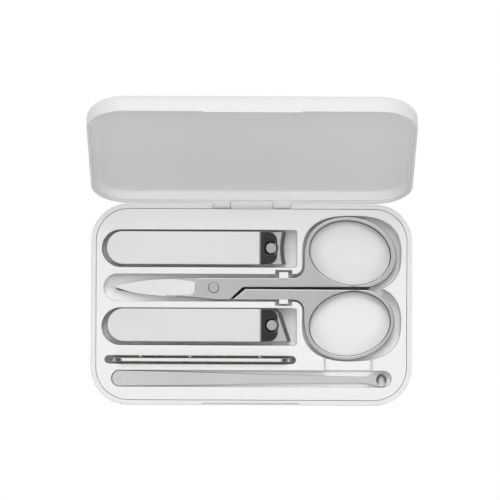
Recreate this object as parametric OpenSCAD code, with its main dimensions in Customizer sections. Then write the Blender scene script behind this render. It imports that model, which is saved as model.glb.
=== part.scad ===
// Manicure set case: a hinged two-shell case whose tray holds two nail clippers,
// scissors, a nail file and an ear pick. Millimetres, +Z up, +Y towards the hinge.
// The origin is the centre of the base's underside. The lid is drawn open.

/* [Case] */
// Plan corner radius of both shells
corner_r = 14.2; // [12:0.2:16]
// Wall of the base shell at the rim
base_wall = 1.85; // [1.4:0.05:2.4]
// Floor of the base shell
base_floor = 1.2; // [0.9:0.1:1.8]
// Radius of the base's lower outer edge
base_edge_r = 3; // [2:0.25:3.5]
// Height of the closed lid above the rim
lid_h = 7.5; // [7:0.25:10]
// Side wall of the lid shell
lid_wall = 1.25; // [1:0.05:1.6]
// Top of the lid shell
lid_top = 1.2; // [0.9:0.1:1.6]
// Radius of the lid's upper outer edge
lid_edge_r = 3.6; // [2.5:0.1:4.5]
// Gap left between the two rims when closed
rim_gap = 0.1; // [0.05:0.05:0.2]
// Angle that the lid swings open
lid_open = 115.2; // [100:0.2:125]
// Half length of the thumb notch in the front rims
notch_half = 18.2; // [14:0.2:22]
// Depth of the base's thumb notch, measured inwards
notch_in = 0.8; // [0.5:0.05:1]
// Height of the base's thumb notch
notch_h = 4; // [3:0.25:5]
// How far the lid's front lip hangs into the thumb notch
lip_drop = 0.4; // [0.2:0.05:0.6]
// How much narrower than the base the lid is on each side
lid_inset = 0.4; // [0:0.05:0.6]

/* [Lid liner] */
// Thickness of the liner
liner_t = 0.8; // [0.6:0.05:1]
// How far the liner's edge stays inside the lid's rim
liner_drop = 0.5; // [0.3:0.05:1]
// Space between the liner's panel and the lid's top
liner_back = 1.5; // [1:0.1:2]
// Half width of the magnet housing
housing_half = 13.5; // [11:0.25:16]
// Depth of the magnet housing from the liner's front edge
housing_d = 7.4; // [6:0.2:8]
// Height of the magnet housing under the liner
housing_h = 2.6; // [2.4:0.1:3]

/* [Hinge] */
// Radius of the lid's two knuckles
knuckle_r = 1.6; // [1.4:0.05:1.8]
// Radius of the base's middle knuckle
middle_r = 1.4; // [1.2:0.05:1.5]
// Length of each lid knuckle
knuckle_len = 6.3; // [5:0.1:8]
// Length of the middle knuckle
middle_len = 15.6; // [12:0.2:20]
// Side gap between knuckles
knuckle_gap = 0.2; // [0.1:0.05:0.4]
// How far the knuckles' webs run down or up the back walls
web_h = 2.8; // [2.4:0.1:3.2]
// Radius of the hinge pin
hinge_pin_r = 0.6; // [0.5:0.05:0.7]
// Gap between a knuckle's web and its stop at the open angle
stop_gap = 0.05; // [0.03:0.01:0.1]

/* [Tray] */
// Gap round the tray, the visible groove
tray_gap = 0.15; // [0.1:0.05:0.25]
// Thickness of the tray's top plate
tray_t = 1.2; // [1:0.1:1.4]
// Walls of the pockets and the tray's skirt
pocket_wall = 0.9; // [0.7:0.05:0.95]
// Floor of every pocket
pocket_floor = 1; // [0.8:0.1:1.4]
// Land between the pockets and the tray's left and right edges
side_land = 2.05; // [1.8:0.05:4]
// Land behind the curved clipper's pocket
land_back = 7.8; // [7.4:0.1:10]
// Land between the curved clipper's pocket and the scissors' channel
land_a = 2.55; // [2.5:0.05:3.5]
// Land between the scissors' channel and the slant clipper's pocket
land_b = 2.45; // [2.4:0.05:3.5]
// Land between the slant clipper's pocket and the file's slot
land_c = 3.9; // [3.5:0.1:5]
// Land between the file's slot and the pick's pocket
land_d = 2.4; // [2.2:0.1:4]
// Land in front of the pick's pocket
land_front = 4.85; // [4.5:0.05:7]
// Land between the clippers' pockets and the finger rings' pocket
ring_land = 2.05; // [1.9:0.05:2.5]
// Left end of the finger recess, measured from the ring pocket's left side
recess_from = 8.2; // [7:0.2:10]
// Length of the finger recess
recess_len = 18.1; // [14:0.5:20]
// Depth of the finger recess
recess_depth = 2.4; // [1.5:0.1:2.6]

/* [Clippers] */
// Width of the levers
lever_w = 12.5; // [12.4:0.1:14]
// Thickness of the levers
lever_t = 1; // [0.9:0.05:1.1]
// Run of a lever from its free end to the pin
lever_run = 61.6; // [58:0.2:65]
// Height that the lever drops on its slope to the pin
lever_drop = 2.1; // [1.8:0.1:2.4]
// Length of the lever's slope
slope_len = 6.15; // [5.5:0.05:6.5]
// Width of the jaw leaves
leaf_w = 12.3; // [11.8:0.1:12.4]
// Thickness of the jaw leaves
leaf_t = 1.1; // [1:0.05:1.2]
// Gap between the two leaves at the rivet
leaf_gap = 0.1; // [0.08:0.01:0.15]
// Rise of the upper leaf from the rivet to the jaw
leaf_rise = 1.3; // [1.2:0.05:1.5]
// Distance of the jaw's front corners in front of the pin
jaw_reach = 5.65; // [5.2:0.05:6]
// Depth of the curved jaw's hollow edge
jaw_hollow = 0.8; // [0.5:0.05:1]
// Length of the ground bevel on a jaw
bevel_len = 1.6; // [1.2:0.1:2]
// Distance of the rear rivet behind the pin
rivet_run = 52; // [48:0.5:54]
// Radius of the pin's head
pin_head_r = 2; // [1.8:0.05:2.1]
// Radius of the pin's shank
pin_r = 1.5; // [1.3:0.05:1.5]
// Radius of the pin's waist, which holds the lever's bar
waist_r = 1; // [0.8:0.05:1]
// Side gap between a lever and its pocket
lever_gap = 0.75; // [0.6:0.05:1.2]
// Gap at a clipper's free end
clip_back_gap = 1.65; // [1:0.05:2.5]
// Gap in front of the jaws
clip_nose_gap = 4; // [2.5:0.05:4.5]
// Depth of the levers below the tray's top
lever_sink = 0.65; // [0.4:0.05:1.5]

/* [Scissors] */
// Length from the pivot to the tip
blade_len = 37.5; // [35:0.5:40]
// Distance from the pivot to the finger rings' centre
shank_len = 51.3; // [50:0.1:56]
// Reach of the body above the line between the shanks
body_up = 3.9; // [3.4:0.05:4]
// Reach of the body below the line between the shanks
body_down = 4.3; // [4.2:0.05:4.6]
// Gap between the two shanks
shank_gap = 0.6; // [0.3:0.05:0.7]
// Half length of the finger rings, outside
ring_a = 17.2; // [16.5:0.1:17.6]
// Half width of the finger rings, outside
ring_b = 13.5; // [12.8:0.1:13.6]
// Angle that the finger rings lean outwards
ring_tilt = 11; // [6:0.5:14]
// Width of the finger rings' band
ring_band = 2.1; // [1.8:0.1:2.4]
// Thickness of each blade
blade_t = 1.9; // [1.6:0.05:2.1]
// Gap between the blades
blade_gap = 0.1; // [0.05:0.01:0.12]
// Thickness of the shanks and finger rings
ring_t = 3.2; // [2.9:0.1:3.4]
// Radius of the pivot rivet's heads
rivet_head_r = 2.1; // [1.9:0.05:2.3]
// Radius of the pivot rivet's shank
rivet_r = 1.25; // [1.1:0.05:1.4]
// Depth of the scissors below the tray's top
scissors_sink = 1.6; // [1.55:0.05:2]
// Gap between the tip and its end of the pocket
tip_gap = 3.6; // [3:0.05:5]
// Width of the channel round the blades and shanks
channel_w = 10.2; // [10:0.1:11]
// Gap between a finger ring and its pocket at the case's side
ring_gap = 1.75; // [1:0.05:2.2]
// Width of a snap finger
tab_w = 3.4; // [2.8:0.1:4]
// Thickness of a snap finger's nose
tab_t = 1.1; // [0.9:0.05:1.2]
// Overlap of a snap finger's nose on the shank
tab_hook = 0.6; // [0.3:0.05:0.8]

/* [File and pick] */
// Length of the nail file
file_len = 67.5; // [60:0.5:68]
// Width of the nail file, which stands on its edge
file_w = 10; // [8:0.1:11]
// Thickness of the nail file
file_t = 1.35; // [1:0.05:1.6]
// Gap on each side of the file in its slot
file_gap = 0.83; // [0.7:0.01:1.2]
// Length of the ear pick
pick_len = 103; // [95:0.5:104]
// Width of the ear pick's broad end
pick_w = 5.9; // [5:0.1:6.4]
// Thickness of the ear pick
pick_t = 1.6; // [1.2:0.1:2]
// Depth of the pick's pocket
pick_depth = 3.6; // [3:0.1:4.5]
// Gap round the ear pick
pick_gap = 0.15; // [0.1:0.05:0.4]
// Half length of the dished head
head_a = 2.2; // [2:0.05:3]
// Half width of the dished head
head_b = 2.6; // [2:0.05:2.7]

/* [Magnets] */
// Length of the catch magnets
magnet_len = 16; // [10:0.5:18]
// Width of the catch magnets
magnet_w = 2.6; // [2:0.1:3]
// Thickness of the catch magnets
magnet_t = 1.2; // [1:0.1:1.5]

/* [Hidden] */
$fn = 64;
eps = 0.01;
fit = 0.05;        // radial gap of every pin in its bore
cut = 20;          // overshoot of the cutting blocks
white = "white";
steel = "silver";

// Pocket sizes, each from its tool
pocket_z = base_floor + pocket_floor;
clip_pocket_w = max(lever_w, leaf_w) + 2 * lever_gap;
clip_pocket_len = clip_back_gap + lever_run + jaw_reach + clip_nose_gap;
file_slot_w = file_t + 2 * file_gap;
pick_pocket_w = pick_w + 2 * pick_gap;
ring_half_x = norm([ring_a * cos(ring_tilt), ring_b * sin(ring_tilt)]);
ring_half_y = norm([ring_a * sin(ring_tilt), ring_b * cos(ring_tilt)]);
lobe_a = ring_half_x + 1.4;
lobe_b = ring_half_y + 0.8;
scissors_pocket_len = tip_gap + blade_len + shank_len + ring_half_x + ring_gap;

// Heights
bar_lift = 0.95;   // lever's bar above the upper jaw
clip_front_z = pocket_z + leaf_t + leaf_gap + leaf_rise;
bar_z = clip_front_z + leaf_t + bar_lift;
lever_z = bar_z + lever_drop - lever_t / 2;
base_h = lever_z + lever_t + lever_sink;
scissors_z = base_h - scissors_sink - 2 * blade_t - blade_gap;
ring_z = base_h - scissors_sink - ring_t;
top_blade_z = scissors_z + blade_t + blade_gap;
pick_z = base_h - pick_depth;

// Plan of the tray and the case, stacked from the pockets and their lands
tray_w = 2 * side_land + max(clip_pocket_len + ring_land + 2 * lobe_a, scissors_pocket_len);
tray_d = land_back + clip_pocket_w + land_a + channel_w + land_b + clip_pocket_w
         + land_c + file_slot_w + land_d + pick_pocket_w + land_front;
inner_w = tray_w + 2 * tray_gap;
inner_d = tray_d + 2 * tray_gap;
case_w = inner_w + 2 * base_wall;
case_d = inner_d + 2 * base_wall;
inner_r = corner_r - base_wall;
left_x = -tray_w / 2 + side_land;
curved_y = tray_d / 2 - land_back - clip_pocket_w / 2;
channel_y = curved_y - clip_pocket_w / 2 - land_a - channel_w / 2;
slant_y = channel_y - channel_w / 2 - land_b - clip_pocket_w / 2;
file_y = slant_y - clip_pocket_w / 2 - land_c - file_slot_w / 2;
pick_y = file_y - file_slot_w / 2 - land_d - pick_pocket_w / 2;

// Left ends of the narrow pockets
slot_x = left_x + 1.15;
file_slot_len = file_len + 4;
pick_pocket_x = left_x + 3.65;
pick_pocket_len = pick_len + 1.8;

// Where each tool lies
clip_x = left_x + clip_back_gap + lever_run;
lie_curved = 0.25; // how far each clipper lies to the back of its pocket
lie_slant = 0.55;
lie_right = 0.35;  // how far the slant clipper lies to the right of the other
line_y = channel_y - 0.1;
ring_x = tray_w / 2 - side_land - ring_gap - ring_half_x;
pivot_x = ring_x - shank_len;
channel_x = pivot_x - blade_len - tip_gap;
ring_y = ring_half_y - 0.4;
pivot_y = line_y + 0.15;
file_x = slot_x + 2.5;
pick_x = pick_pocket_x + 0.2;
pick_lean = 0.2;   // angle that the pick lies at in its pocket

// Ring pocket: each lobe follows its finger ring
lobe_x = ring_x + ring_half_x + ring_gap - lobe_a;
lobe_y = ring_y - 0.55;
lobe_fillet = 3;
recess_x = lobe_x - lobe_a + recess_from;
rib_shares = [0.155, 0.43, 0.817]; // the slot's ribs, as shares of the file's length
rib_w = 0.8;
rib_gap = 0.2;

// Snap fingers
tab_x = ring_x - ring_half_x - 8;
tab_slot_w = tab_w + 2.8;
tab_leg_t = 0.8;
tab_slot_reach = 1.55;
tab_z = base_h - scissors_sink + 0.1;
shank_back_y = line_y + body_up;
shank_front_y = line_y - body_down;

// Hinge
hinge_y = case_d / 2;
hinge_z = base_h;
knuckle_clear_r = (knuckle_r + stop_gap) / sin(lid_open);
knuckle_x = middle_len / 2 + knuckle_gap;
hinge_half = knuckle_x + knuckle_len;

// Lid and liner, drawn closed before the lid is swung open
lid_z = base_h + rim_gap;
lid_shell_h = lid_h - rim_gap;
lid_w = case_w - 2 * lid_inset;
liner_gap = 0.1;
liner_top_z = base_h + lid_h - lid_top - liner_back;
liner_w = lid_w - 2 * lid_wall - 2 * liner_gap;
liner_d = case_d - 2 * lid_wall - 2 * liner_gap;
liner_r = corner_r - lid_wall - liner_gap;
housing_y = -liner_d / 2;
housing_slant = 1.6;
magnet_gap = 0.1;
base_magnet_y = -tray_d / 2 + pocket_wall + magnet_gap + magnet_w / 2;

// Clippers
rivet_x = -rivet_run;
leaf_back = -rivet_run - 5;
ramp_from = -rivet_run + 2;
ramp_to = -8;
bar_in = pin_r - fit;
bar_w = 0.9;
bar_x = bar_in + bar_w / 2;
slope_angle = atan(lever_drop / slope_len);
flat_end = bar_x - slope_len;
hole_back = 2.6;
hole_half = 2.5;
waist_up = 0.8;
head_t = 1;
slant_near = 3.65; // where the slanted edge starts and ends, in front of the pin
slant_far = 7.35;

// Scissors
hide = 0.4;        // how far the lower blade stays inside the upper one's outline
step_from = 6.2;   // the diagonal step between the halves, in front of the pivot
step_to = 11.1;
step_gap = 0.85;
front_less = 0.35; // how much shorter the front ring is
hole_shift = 0.25; // how far the rings' holes lie towards the shanks
side_band = 0.4;   // how much narrower the band is at a ring's long sides

// ---- plan shapes ----

module rounded(w, d, r) {
    square([w - 2 * r, d], center = true);
    square([w, d - 2 * r], center = true);
    for (sx = [-1, 1], sy = [-1, 1])
        translate([sx * (w / 2 - r), sy * (d / 2 - r)]) circle(r);
}

// Points of a superellipse with half axes a and b; e = 2 gives a plain ellipse
function oval(a, b, e = 2, n = 72) = [
    for (i = [0 : n - 1])
        let (t = 360 * i / n, c = cos(t), s = sin(t))
        [a * sign(c) * pow(abs(c), 2 / e), b * sign(s) * pow(abs(s), 2 / e)]
];

function arc(x, y, r, from, to, n = 16) = [
    for (i = [0 : n]) let (t = from + (to - from) * i / n) [x + r * cos(t), y + r * sin(t)]
];

// A pocket from x = 0: round at its left end, nearly square at its right, grown by g
module pocket_plan(len, w, right_r, g = 0) {
    r = w / 2;
    translate([r, 0]) circle(r + g);
    translate([r, -r - g]) square([len - r - right_r, w + 2 * g]);
    translate([len - right_r - g, -r + right_r]) square([right_r + 2 * g, w - 2 * right_r]);
    for (s = [-1, 1])
        translate([len - right_r, s * (r - right_r)]) circle(right_r + g);
}

module ring_lobe(s, g) {
    translate([lobe_x, line_y + s * lobe_y]) polygon(oval(lobe_a + g, lobe_b + g, 2.6));
}

// The scissors' pocket: channel, two lobes and the fillets between them
module scissors_plan(g = 0) {
    r = channel_w / 2;
    lobe_left = lobe_x - lobe_a;
    translate([channel_x + r, channel_y]) circle(r + g);
    translate([channel_x + r, channel_y - r - g])
        square([lobe_x - channel_x - r, channel_w + 2 * g]);
    for (s = [-1, 1]) ring_lobe(s, g);
    if (g == 0)
        for (s = [-1, 1]) translate([lobe_left, channel_y + s * r])
            mirror([0, s < 0 ? 1 : 0])
                difference() {
                    translate([-lobe_fillet, -eps]) square([lobe_fillet + 3, lobe_fillet]);
                    translate([-lobe_fillet, lobe_fillet - eps]) circle(lobe_fillet);
                    translate([0, lobe_fillet - eps]) square([3.1, cut]);
                }
}

// ---- shells ----

// Half section of a shell corner: square above, rounded below
module edge_section(r, h, edge) {
    square([r - edge, h]);
    translate([0, edge]) square([r, h - edge]);
    intersection() {
        translate([r - edge, edge]) circle(edge);
        square([r, h]);
    }
}

// Box with a rounded plan and a rounded lower edge, standing on z = 0
module soft_box(w, d, h, r, edge) {
    for (sx = [-1, 1], sy = [-1, 1])
        translate([sx * (w / 2 - r), sy * (d / 2 - r), 0])
            rotate_extrude() edge_section(r, h, edge);
    translate([-(w / 2 - r), 0, 0]) rotate([90, 0, 90]) linear_extrude(w - 2 * r)
        for (m = [0, 1]) mirror([m, 0]) edge_section(d / 2, h, edge);
    translate([0, d / 2 - r, 0]) rotate([90, 0, 0]) linear_extrude(d - 2 * r)
        for (m = [0, 1]) mirror([m, 0]) edge_section(w / 2, h, edge);
}

// A cylinder along X centred on the hinge line
module along_hinge(r, len) {
    translate([-len / 2, hinge_y, hinge_z]) rotate([0, 90, 0]) cylinder(r = r, h = len);
}

// Repeats what is centred on x = 0 at the lid's two knuckles
module at_knuckles() {
    for (s = [-1, 1]) translate([s * (knuckle_x + knuckle_len / 2), 0, 0]) children();
}

// Swings what is drawn closed to the open position
module opened() {
    translate([0, hinge_y, hinge_z]) rotate([-lid_open, 0, 0])
        translate([0, -hinge_y, -hinge_z]) children();
}

module base_shell() {
    color(white) difference() {
        union() {
            difference() {
                soft_box(case_w, case_d, base_h, corner_r, base_edge_r);
                translate([0, 0, base_floor]) linear_extrude(base_h)
                    rounded(inner_w, inner_d, inner_r);
                at_knuckles() along_hinge(knuckle_clear_r, knuckle_len + 2 * knuckle_gap);
                // wedge that forms the thumb notch
                translate([-notch_half, -case_d / 2, base_h - notch_h]) rotate([90, 0, 90])
                    linear_extrude(2 * notch_half)
                        polygon([[-1, 0], [0, 0], [notch_in, notch_h + eps], [-1, notch_h + eps]]);
            }
            // middle knuckle and its web
            along_hinge(middle_r, middle_len);
            translate([-middle_len / 2, hinge_y - eps, hinge_z]) rotate([90, 0, 90])
                linear_extrude(middle_len)
                    polygon([[-middle_r, 0], [middle_r, 0], [middle_r, -web_h / 2], [0, -web_h - 1],
                             [-base_wall / 2, -web_h - 1], [-base_wall / 2, -1]]);
        }
        along_hinge(hinge_pin_r + fit, 2 * hinge_half);
    }
}

module lid_shell() {
    color(white) opened() difference() {
        union() {
            difference() {
                translate([0, 0, base_h + lid_h]) mirror([0, 0, 1])
                    soft_box(lid_w, case_d, lid_shell_h, corner_r, lid_edge_r);
                translate([0, 0, base_h - 1]) linear_extrude(lid_h - lid_top + 1)
                    rounded(lid_w - 2 * lid_wall, case_d - 2 * lid_wall, corner_r - lid_wall);
                along_hinge(knuckle_clear_r, 2 * (hinge_half + knuckle_gap));
            }
            // lip that hangs into the base's thumb notch
            translate([-notch_half + 0.6, -case_d / 2, lid_z - lip_drop])
                cube([2 * notch_half - 1.2, 0.6, lip_drop + eps]);
            at_knuckles() {
                along_hinge(knuckle_r, knuckle_len);
                // web with the flat back face that meets the base's wall when open
                translate([-knuckle_len / 2, hinge_y, hinge_z]) rotate([90, 0, 90])
                    linear_extrude(knuckle_len)
                        polygon([[-lid_wall / 2, 1], [-lid_wall / 2, web_h + 1], [0, web_h + 1],
                                 [knuckle_r, web_h], [knuckle_r, 0], [-knuckle_r, 0]]);
            }
        }
        along_hinge(hinge_pin_r + fit, 3 * hinge_half);
    }
}

// Plan of the magnet housing: slanted ends, standing on the liner's front edge
module housing_plan(g = 0) {
    polygon([[-housing_half - g, 0], [housing_half + g, 0],
             [housing_half - housing_slant + g, housing_d + g],
             [-housing_half + housing_slant - g, housing_d + g]]);
}

module lid_liner() {
    rim_z = lid_z + liner_drop;
    magnet_y = (housing_d + liner_t - magnet_w) / 2;
    color(white) opened() difference() {
        union() {
            difference() {
                translate([0, 0, rim_z]) linear_extrude(liner_top_z - rim_z)
                    rounded(liner_w, liner_d, liner_r);
                translate([0, 0, rim_z - 1]) linear_extrude(liner_top_z - rim_z - liner_t + 1)
                    rounded(liner_w - 2 * liner_t, liner_d - 2 * liner_t, liner_r - liner_t);
            }
            translate([0, housing_y + eps, liner_top_z - liner_t - housing_h])
                linear_extrude(housing_h + eps) housing_plan();
            // ribs that bear on the lid's top
            for (share = [-0.3, 0, 0.3])
                translate([-liner_w * 0.35, share * liner_d - liner_t / 2, liner_top_z - eps])
                    cube([liner_w * 0.7, liner_t, liner_back - liner_gap + eps]);
        }
        // seat for the magnet, open to the shell's side
        translate([-magnet_len / 2 - magnet_gap, housing_y + magnet_y - magnet_gap,
                   liner_top_z - liner_t - housing_h + liner_t])
            cube([magnet_len + 2 * magnet_gap, magnet_w + 2 * magnet_gap, cut]);
        along_hinge(knuckle_clear_r + lid_wall, 2 * (hinge_half + 1));
    }
}

module lid_magnet() {
    magnet_y = (housing_d + liner_t - magnet_w) / 2;
    color("gray") opened()
        translate([-magnet_len / 2, housing_y + magnet_y, liner_top_z - housing_h])
            cube([magnet_len, magnet_w, magnet_t]);
}

module base_magnet() {
    color("gray")
        translate([-magnet_len / 2, base_magnet_y - magnet_w / 2,
                   base_h - tray_t - magnet_gap - magnet_t])
            cube([magnet_len, magnet_w, magnet_t]);
}

module hinge_pin() {
    color(steel) along_hinge(hinge_pin_r, 2 * hinge_half - 1);
}

// ---- tray ----

// Every pocket as a plan at its place, grown by g, with its floor height
module clip_pocket(y, g = 0) {
    translate([left_x, y]) pocket_plan(clip_pocket_len, clip_pocket_w, 1, g);
}

module file_slot(g = 0) {
    w = file_slot_w;
    translate([slot_x, file_y]) pocket_plan(file_slot_len, w, w / 2 - eps, g);
}

module pick_pocket(g = 0) {
    w = pick_pocket_w;
    translate([pick_pocket_x, pick_y]) pocket_plan(pick_pocket_len, w, w / 2 - eps, g);
}

// The finger recess between the front ring lobe and the pick's pocket
module recess_plan(g = 0) {
    y0 = pick_y + pick_pocket_w / 2 - 1;
    translate([recess_x - g, y0]) square([recess_len + 2 * g, line_y - lobe_y - lobe_b + 2 - y0]);
}

// Slots round the snap fingers, one behind and one in front of the channel
module tab_slots(g = 0) {
    r = channel_w / 2;
    translate([tab_x - tab_slot_w / 2 - g, channel_y]) square([tab_slot_w + 2 * g, r + tab_slot_reach + g]);
    translate([tab_x - tab_slot_w / 2 - g, channel_y - r - tab_slot_reach - g])
        square([tab_slot_w + 2 * g, r + tab_slot_reach + g]);
}

module tray_insert() {
    color(white) difference() {
        union() {
            translate([0, 0, base_h - tray_t]) linear_extrude(tray_t)
                rounded(tray_w, tray_d, inner_r - tray_gap);
            // skirt that stands on the base's floor
            translate([0, 0, base_floor]) linear_extrude(base_h - base_floor) difference() {
                rounded(tray_w, tray_d, inner_r - tray_gap);
                rounded(tray_w - 2 * pocket_wall, tray_d - 2 * pocket_wall,
                        inner_r - tray_gap - pocket_wall);
            }
            translate([0, 0, base_floor]) linear_extrude(base_h - base_floor) {
                clip_pocket(curved_y, pocket_wall);
                clip_pocket(slant_y, pocket_wall);
                file_slot(pocket_wall);
            }
            translate([0, 0, scissors_z - pocket_floor])
                linear_extrude(base_h - scissors_z + pocket_floor) {
                    scissors_plan(pocket_wall);
                    tab_slots(pocket_wall);
                }
            translate([0, 0, pick_z - pocket_floor])
                linear_extrude(base_h - pick_z + pocket_floor) pick_pocket(pocket_wall);
            translate([0, 0, base_h - recess_depth - pocket_floor])
                linear_extrude(recess_depth + pocket_floor) recess_plan(pocket_wall);
        }
        translate([0, 0, pocket_z]) linear_extrude(base_h) {
            clip_pocket(curved_y);
            clip_pocket(slant_y);
        }
        // the file's slot keeps a few thin ribs on its back wall
        translate([0, 0, pocket_z]) linear_extrude(base_h) difference() {
            file_slot();
            for (share = rib_shares)
                translate([file_x + share * file_len, file_y + file_t / 2 + rib_gap])
                    square([rib_w, file_gap]);
        }
        translate([0, 0, scissors_z]) linear_extrude(base_h) {
            scissors_plan();
            tab_slots();
        }
        translate([0, 0, pick_z]) linear_extrude(base_h) pick_pocket();
        translate([0, 0, base_h - recess_depth]) linear_extrude(base_h) recess_plan();
    }
}

// A springy finger with a hooked nose, in section across the channel. s = 1 behind, -1 in front
module clip_tab(s) {
    edge = s > 0 ? shank_back_y : shank_front_y;
    nose_y = edge - s * tab_hook * (s > 0 ? 1 : 0.5);
    leg_y = channel_y + s * (channel_w / 2 + 0.1);
    translate([tab_x - tab_w / 2, 0, 0]) rotate([90, 0, 90]) linear_extrude(tab_w)
        polygon([[leg_y, scissors_z], [leg_y + s * tab_leg_t, scissors_z],
                 [leg_y + s * tab_leg_t, tab_z + tab_t], [nose_y + s * 0.5, tab_z + tab_t],
                 [nose_y, tab_z + tab_t / 2], [nose_y, tab_z], [leg_y, tab_z]]);
}

module clip_tab_back() { color(white) clip_tab(1); }
module clip_tab_front() { color(white) clip_tab(-1); }

// ---- nail clippers, drawn with the pin's axis at x = 0, y = 0 ----

// Plan of a jaw leaf: rounded rear, straight sides, and a front edge per kind
module leaf_plan(slant) {
    half = leaf_w / 2;
    difference() {
        union() {
            translate([leaf_back + half, 0]) circle(half);
            translate([leaf_back + half, -half])
                square([jaw_reach + (slant ? 2 : 0) - leaf_back - half, leaf_w]);
        }
        if (slant) slant_cut(0);
        else translate([hollow_x(), 0]) circle(hollow_r(), $fn = 128);
    }
}

// Radius and centre of the circle that hollows the curved jaw's edge
function hollow_r() = (pow(leaf_w / 2, 2) + pow(jaw_hollow, 2)) / (2 * jaw_hollow);
function hollow_x() = jaw_reach - jaw_hollow + hollow_r();

// Everything in front of the slanted edge, moved back by b
module slant_cut(b) {
    polygon([[slant_near - b, leaf_w / 2 - 1.6], [slant_near - 1.9 - b, leaf_w / 2 + 0.3],
             [cut, leaf_w / 2 + 0.3], [cut, -leaf_w], [slant_far + 0.9 - b, -leaf_w / 2 - 2.1],
             [slant_far - b, -leaf_w / 2]]);
}

// Bevel ground on a jaw: z0 is the leaf's outer face and z1 the cutting edge's height
module jaw_bevel(slant, z0, z1) {
    up = z0 > z1 ? 1 : -1;
    h = abs(z0 - z1);
    if (slant) {
        run = atan2(slant_near - slant_far, leaf_w - 1.6);
        translate([slant_far, -leaf_w / 2, z1]) rotate([0, 0, -run])
            rotate([90, 0, 0]) translate([0, 0, -leaf_w - 6]) linear_extrude(leaf_w + 12)
                polygon([[0, 0], [-bevel_len, up * h], [-bevel_len, up * (h + 1)],
                         [cut, up * (h + 1)], [cut, 0]]);
    } else
        translate([hollow_x(), 0, z1]) mirror([0, 0, up > 0 ? 0 : 1])
            cylinder(r1 = hollow_r(), r2 = hollow_r() + bevel_len * 1.4, h = h * 1.4, $fn = 128);
}

module lower_jaw(slant) {
    difference() {
        translate([0, 0, pocket_z]) linear_extrude(leaf_t) leaf_plan(slant);
        jaw_bevel(slant, pocket_z, pocket_z + leaf_t - 0.05);
        translate([0, 0, pocket_z - 1]) cylinder(r = pin_r + 0.3, h = cut);
        translate([0, 0, pocket_z - 1]) cylinder(r = pin_head_r + 0.3, h = 1.5);
        translate([rivet_x, 0, pocket_z - 1]) cylinder(r = 1.2 + fit, h = cut);
        translate([rivet_x, 0, pocket_z - 1]) cylinder(r = 2.2, h = 1.4);
    }
}

module upper_jaw(slant) {
    rear_z = pocket_z + leaf_t + leaf_gap;
    front = jaw_reach + 4;
    color(steel) difference() {
        intersection() {
            translate([0, leaf_w, 0]) rotate([90, 0, 0]) linear_extrude(2 * leaf_w)
                polygon([[leaf_back - 1, rear_z], [ramp_from, rear_z], [ramp_to, clip_front_z],
                         [3.2, clip_front_z], [3.6, clip_front_z - 0.15],
                         [front, clip_front_z - 0.15], [front, clip_front_z + leaf_t],
                         [ramp_to, clip_front_z + leaf_t], [ramp_from, rear_z + leaf_t],
                         [leaf_back - 1, rear_z + leaf_t]]);
            linear_extrude(cut) leaf_plan(slant);
        }
        jaw_bevel(slant, clip_front_z + leaf_t, clip_front_z - 0.1);
        cylinder(r = pin_r + 1.15, h = cut);
        translate([rivet_x, 0, 0]) cylinder(r = 1.2 + 0.15, h = cut);
    }
}

// Side view of the lever: flat run, then a slope of the same thickness down to the bar
module lever_side() {
    half = lever_t / 2;
    zm = lever_z + half;
    v = half / cos(slope_angle);
    k = half * tan(slope_angle / 2);
    end = bar_x + bar_w / 2;
    drop = (end - flat_end) * tan(slope_angle);
    polygon([[-lever_run - 1, zm - half], [flat_end - k, zm - half], [end, zm - drop - v],
             [end, zm - drop + v], [flat_end + k, zm + half], [-lever_run - 1, zm + half]]);
}

module lever() {
    half = lever_w / 2;
    nose_r = 3.6;
    end = bar_x + bar_w / 2;
    color(steel) difference() {
        intersection() {
            translate([0, lever_w, 0]) rotate([90, 0, 0]) linear_extrude(2 * lever_w) lever_side();
            linear_extrude(cut) intersection() {
                union() {
                    translate([half - lever_run, 0]) circle(half);
                    translate([half - lever_run, -half]) square([lever_run, lever_w]);
                }
                union() {
                    translate([-lever_run - 1, -half]) square([lever_run + 1 + end - nose_r, lever_w]);
                    translate([end - nose_r - 1, nose_r - half]) square([nose_r + 1, lever_w - 2 * nose_r]);
                    for (s = [-1, 1]) translate([end - nose_r, s * (half - nose_r)]) circle(nose_r);
                }
            }
        }
        translate([-hole_back, -hole_half, 0]) cube([hole_back + bar_in, 2 * hole_half, cut]);
    }
}

module clip_pin() {
    shank_top = bar_z - waist_up;
    color(steel) rotate_extrude() polygon([
        [0, pocket_z], [pin_head_r + 0.15, pocket_z], [pin_head_r + 0.15, pocket_z + 0.45],
        [pin_r, pocket_z + 0.45], [pin_r, shank_top], [waist_r, shank_top],
        [waist_r, bar_z + waist_up], [pin_head_r, bar_z + waist_up],
        [pin_head_r, bar_z + waist_up + head_t - 0.3], [pin_head_r - 0.3, bar_z + waist_up + head_t],
        [0, bar_z + waist_up + head_t]]);
}

module leaf_rivet() {
    top = pocket_z + 2 * leaf_t + leaf_gap;
    color(steel) translate([rivet_x, 0, 0]) rotate_extrude() polygon([
        [0, pocket_z], [2.1, pocket_z], [2.1, pocket_z + 0.35], [1.2, pocket_z + 0.35],
        [1.2, top + 0.1], [2, top + 0.1], [1.8, top + 0.7], [0, top + 0.7]]);
}

module at_curved() { translate([clip_x, curved_y + lie_curved, 0]) children(); }
module at_slant() { translate([clip_x + lie_right, slant_y + lie_slant, 0]) children(); }

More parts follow.
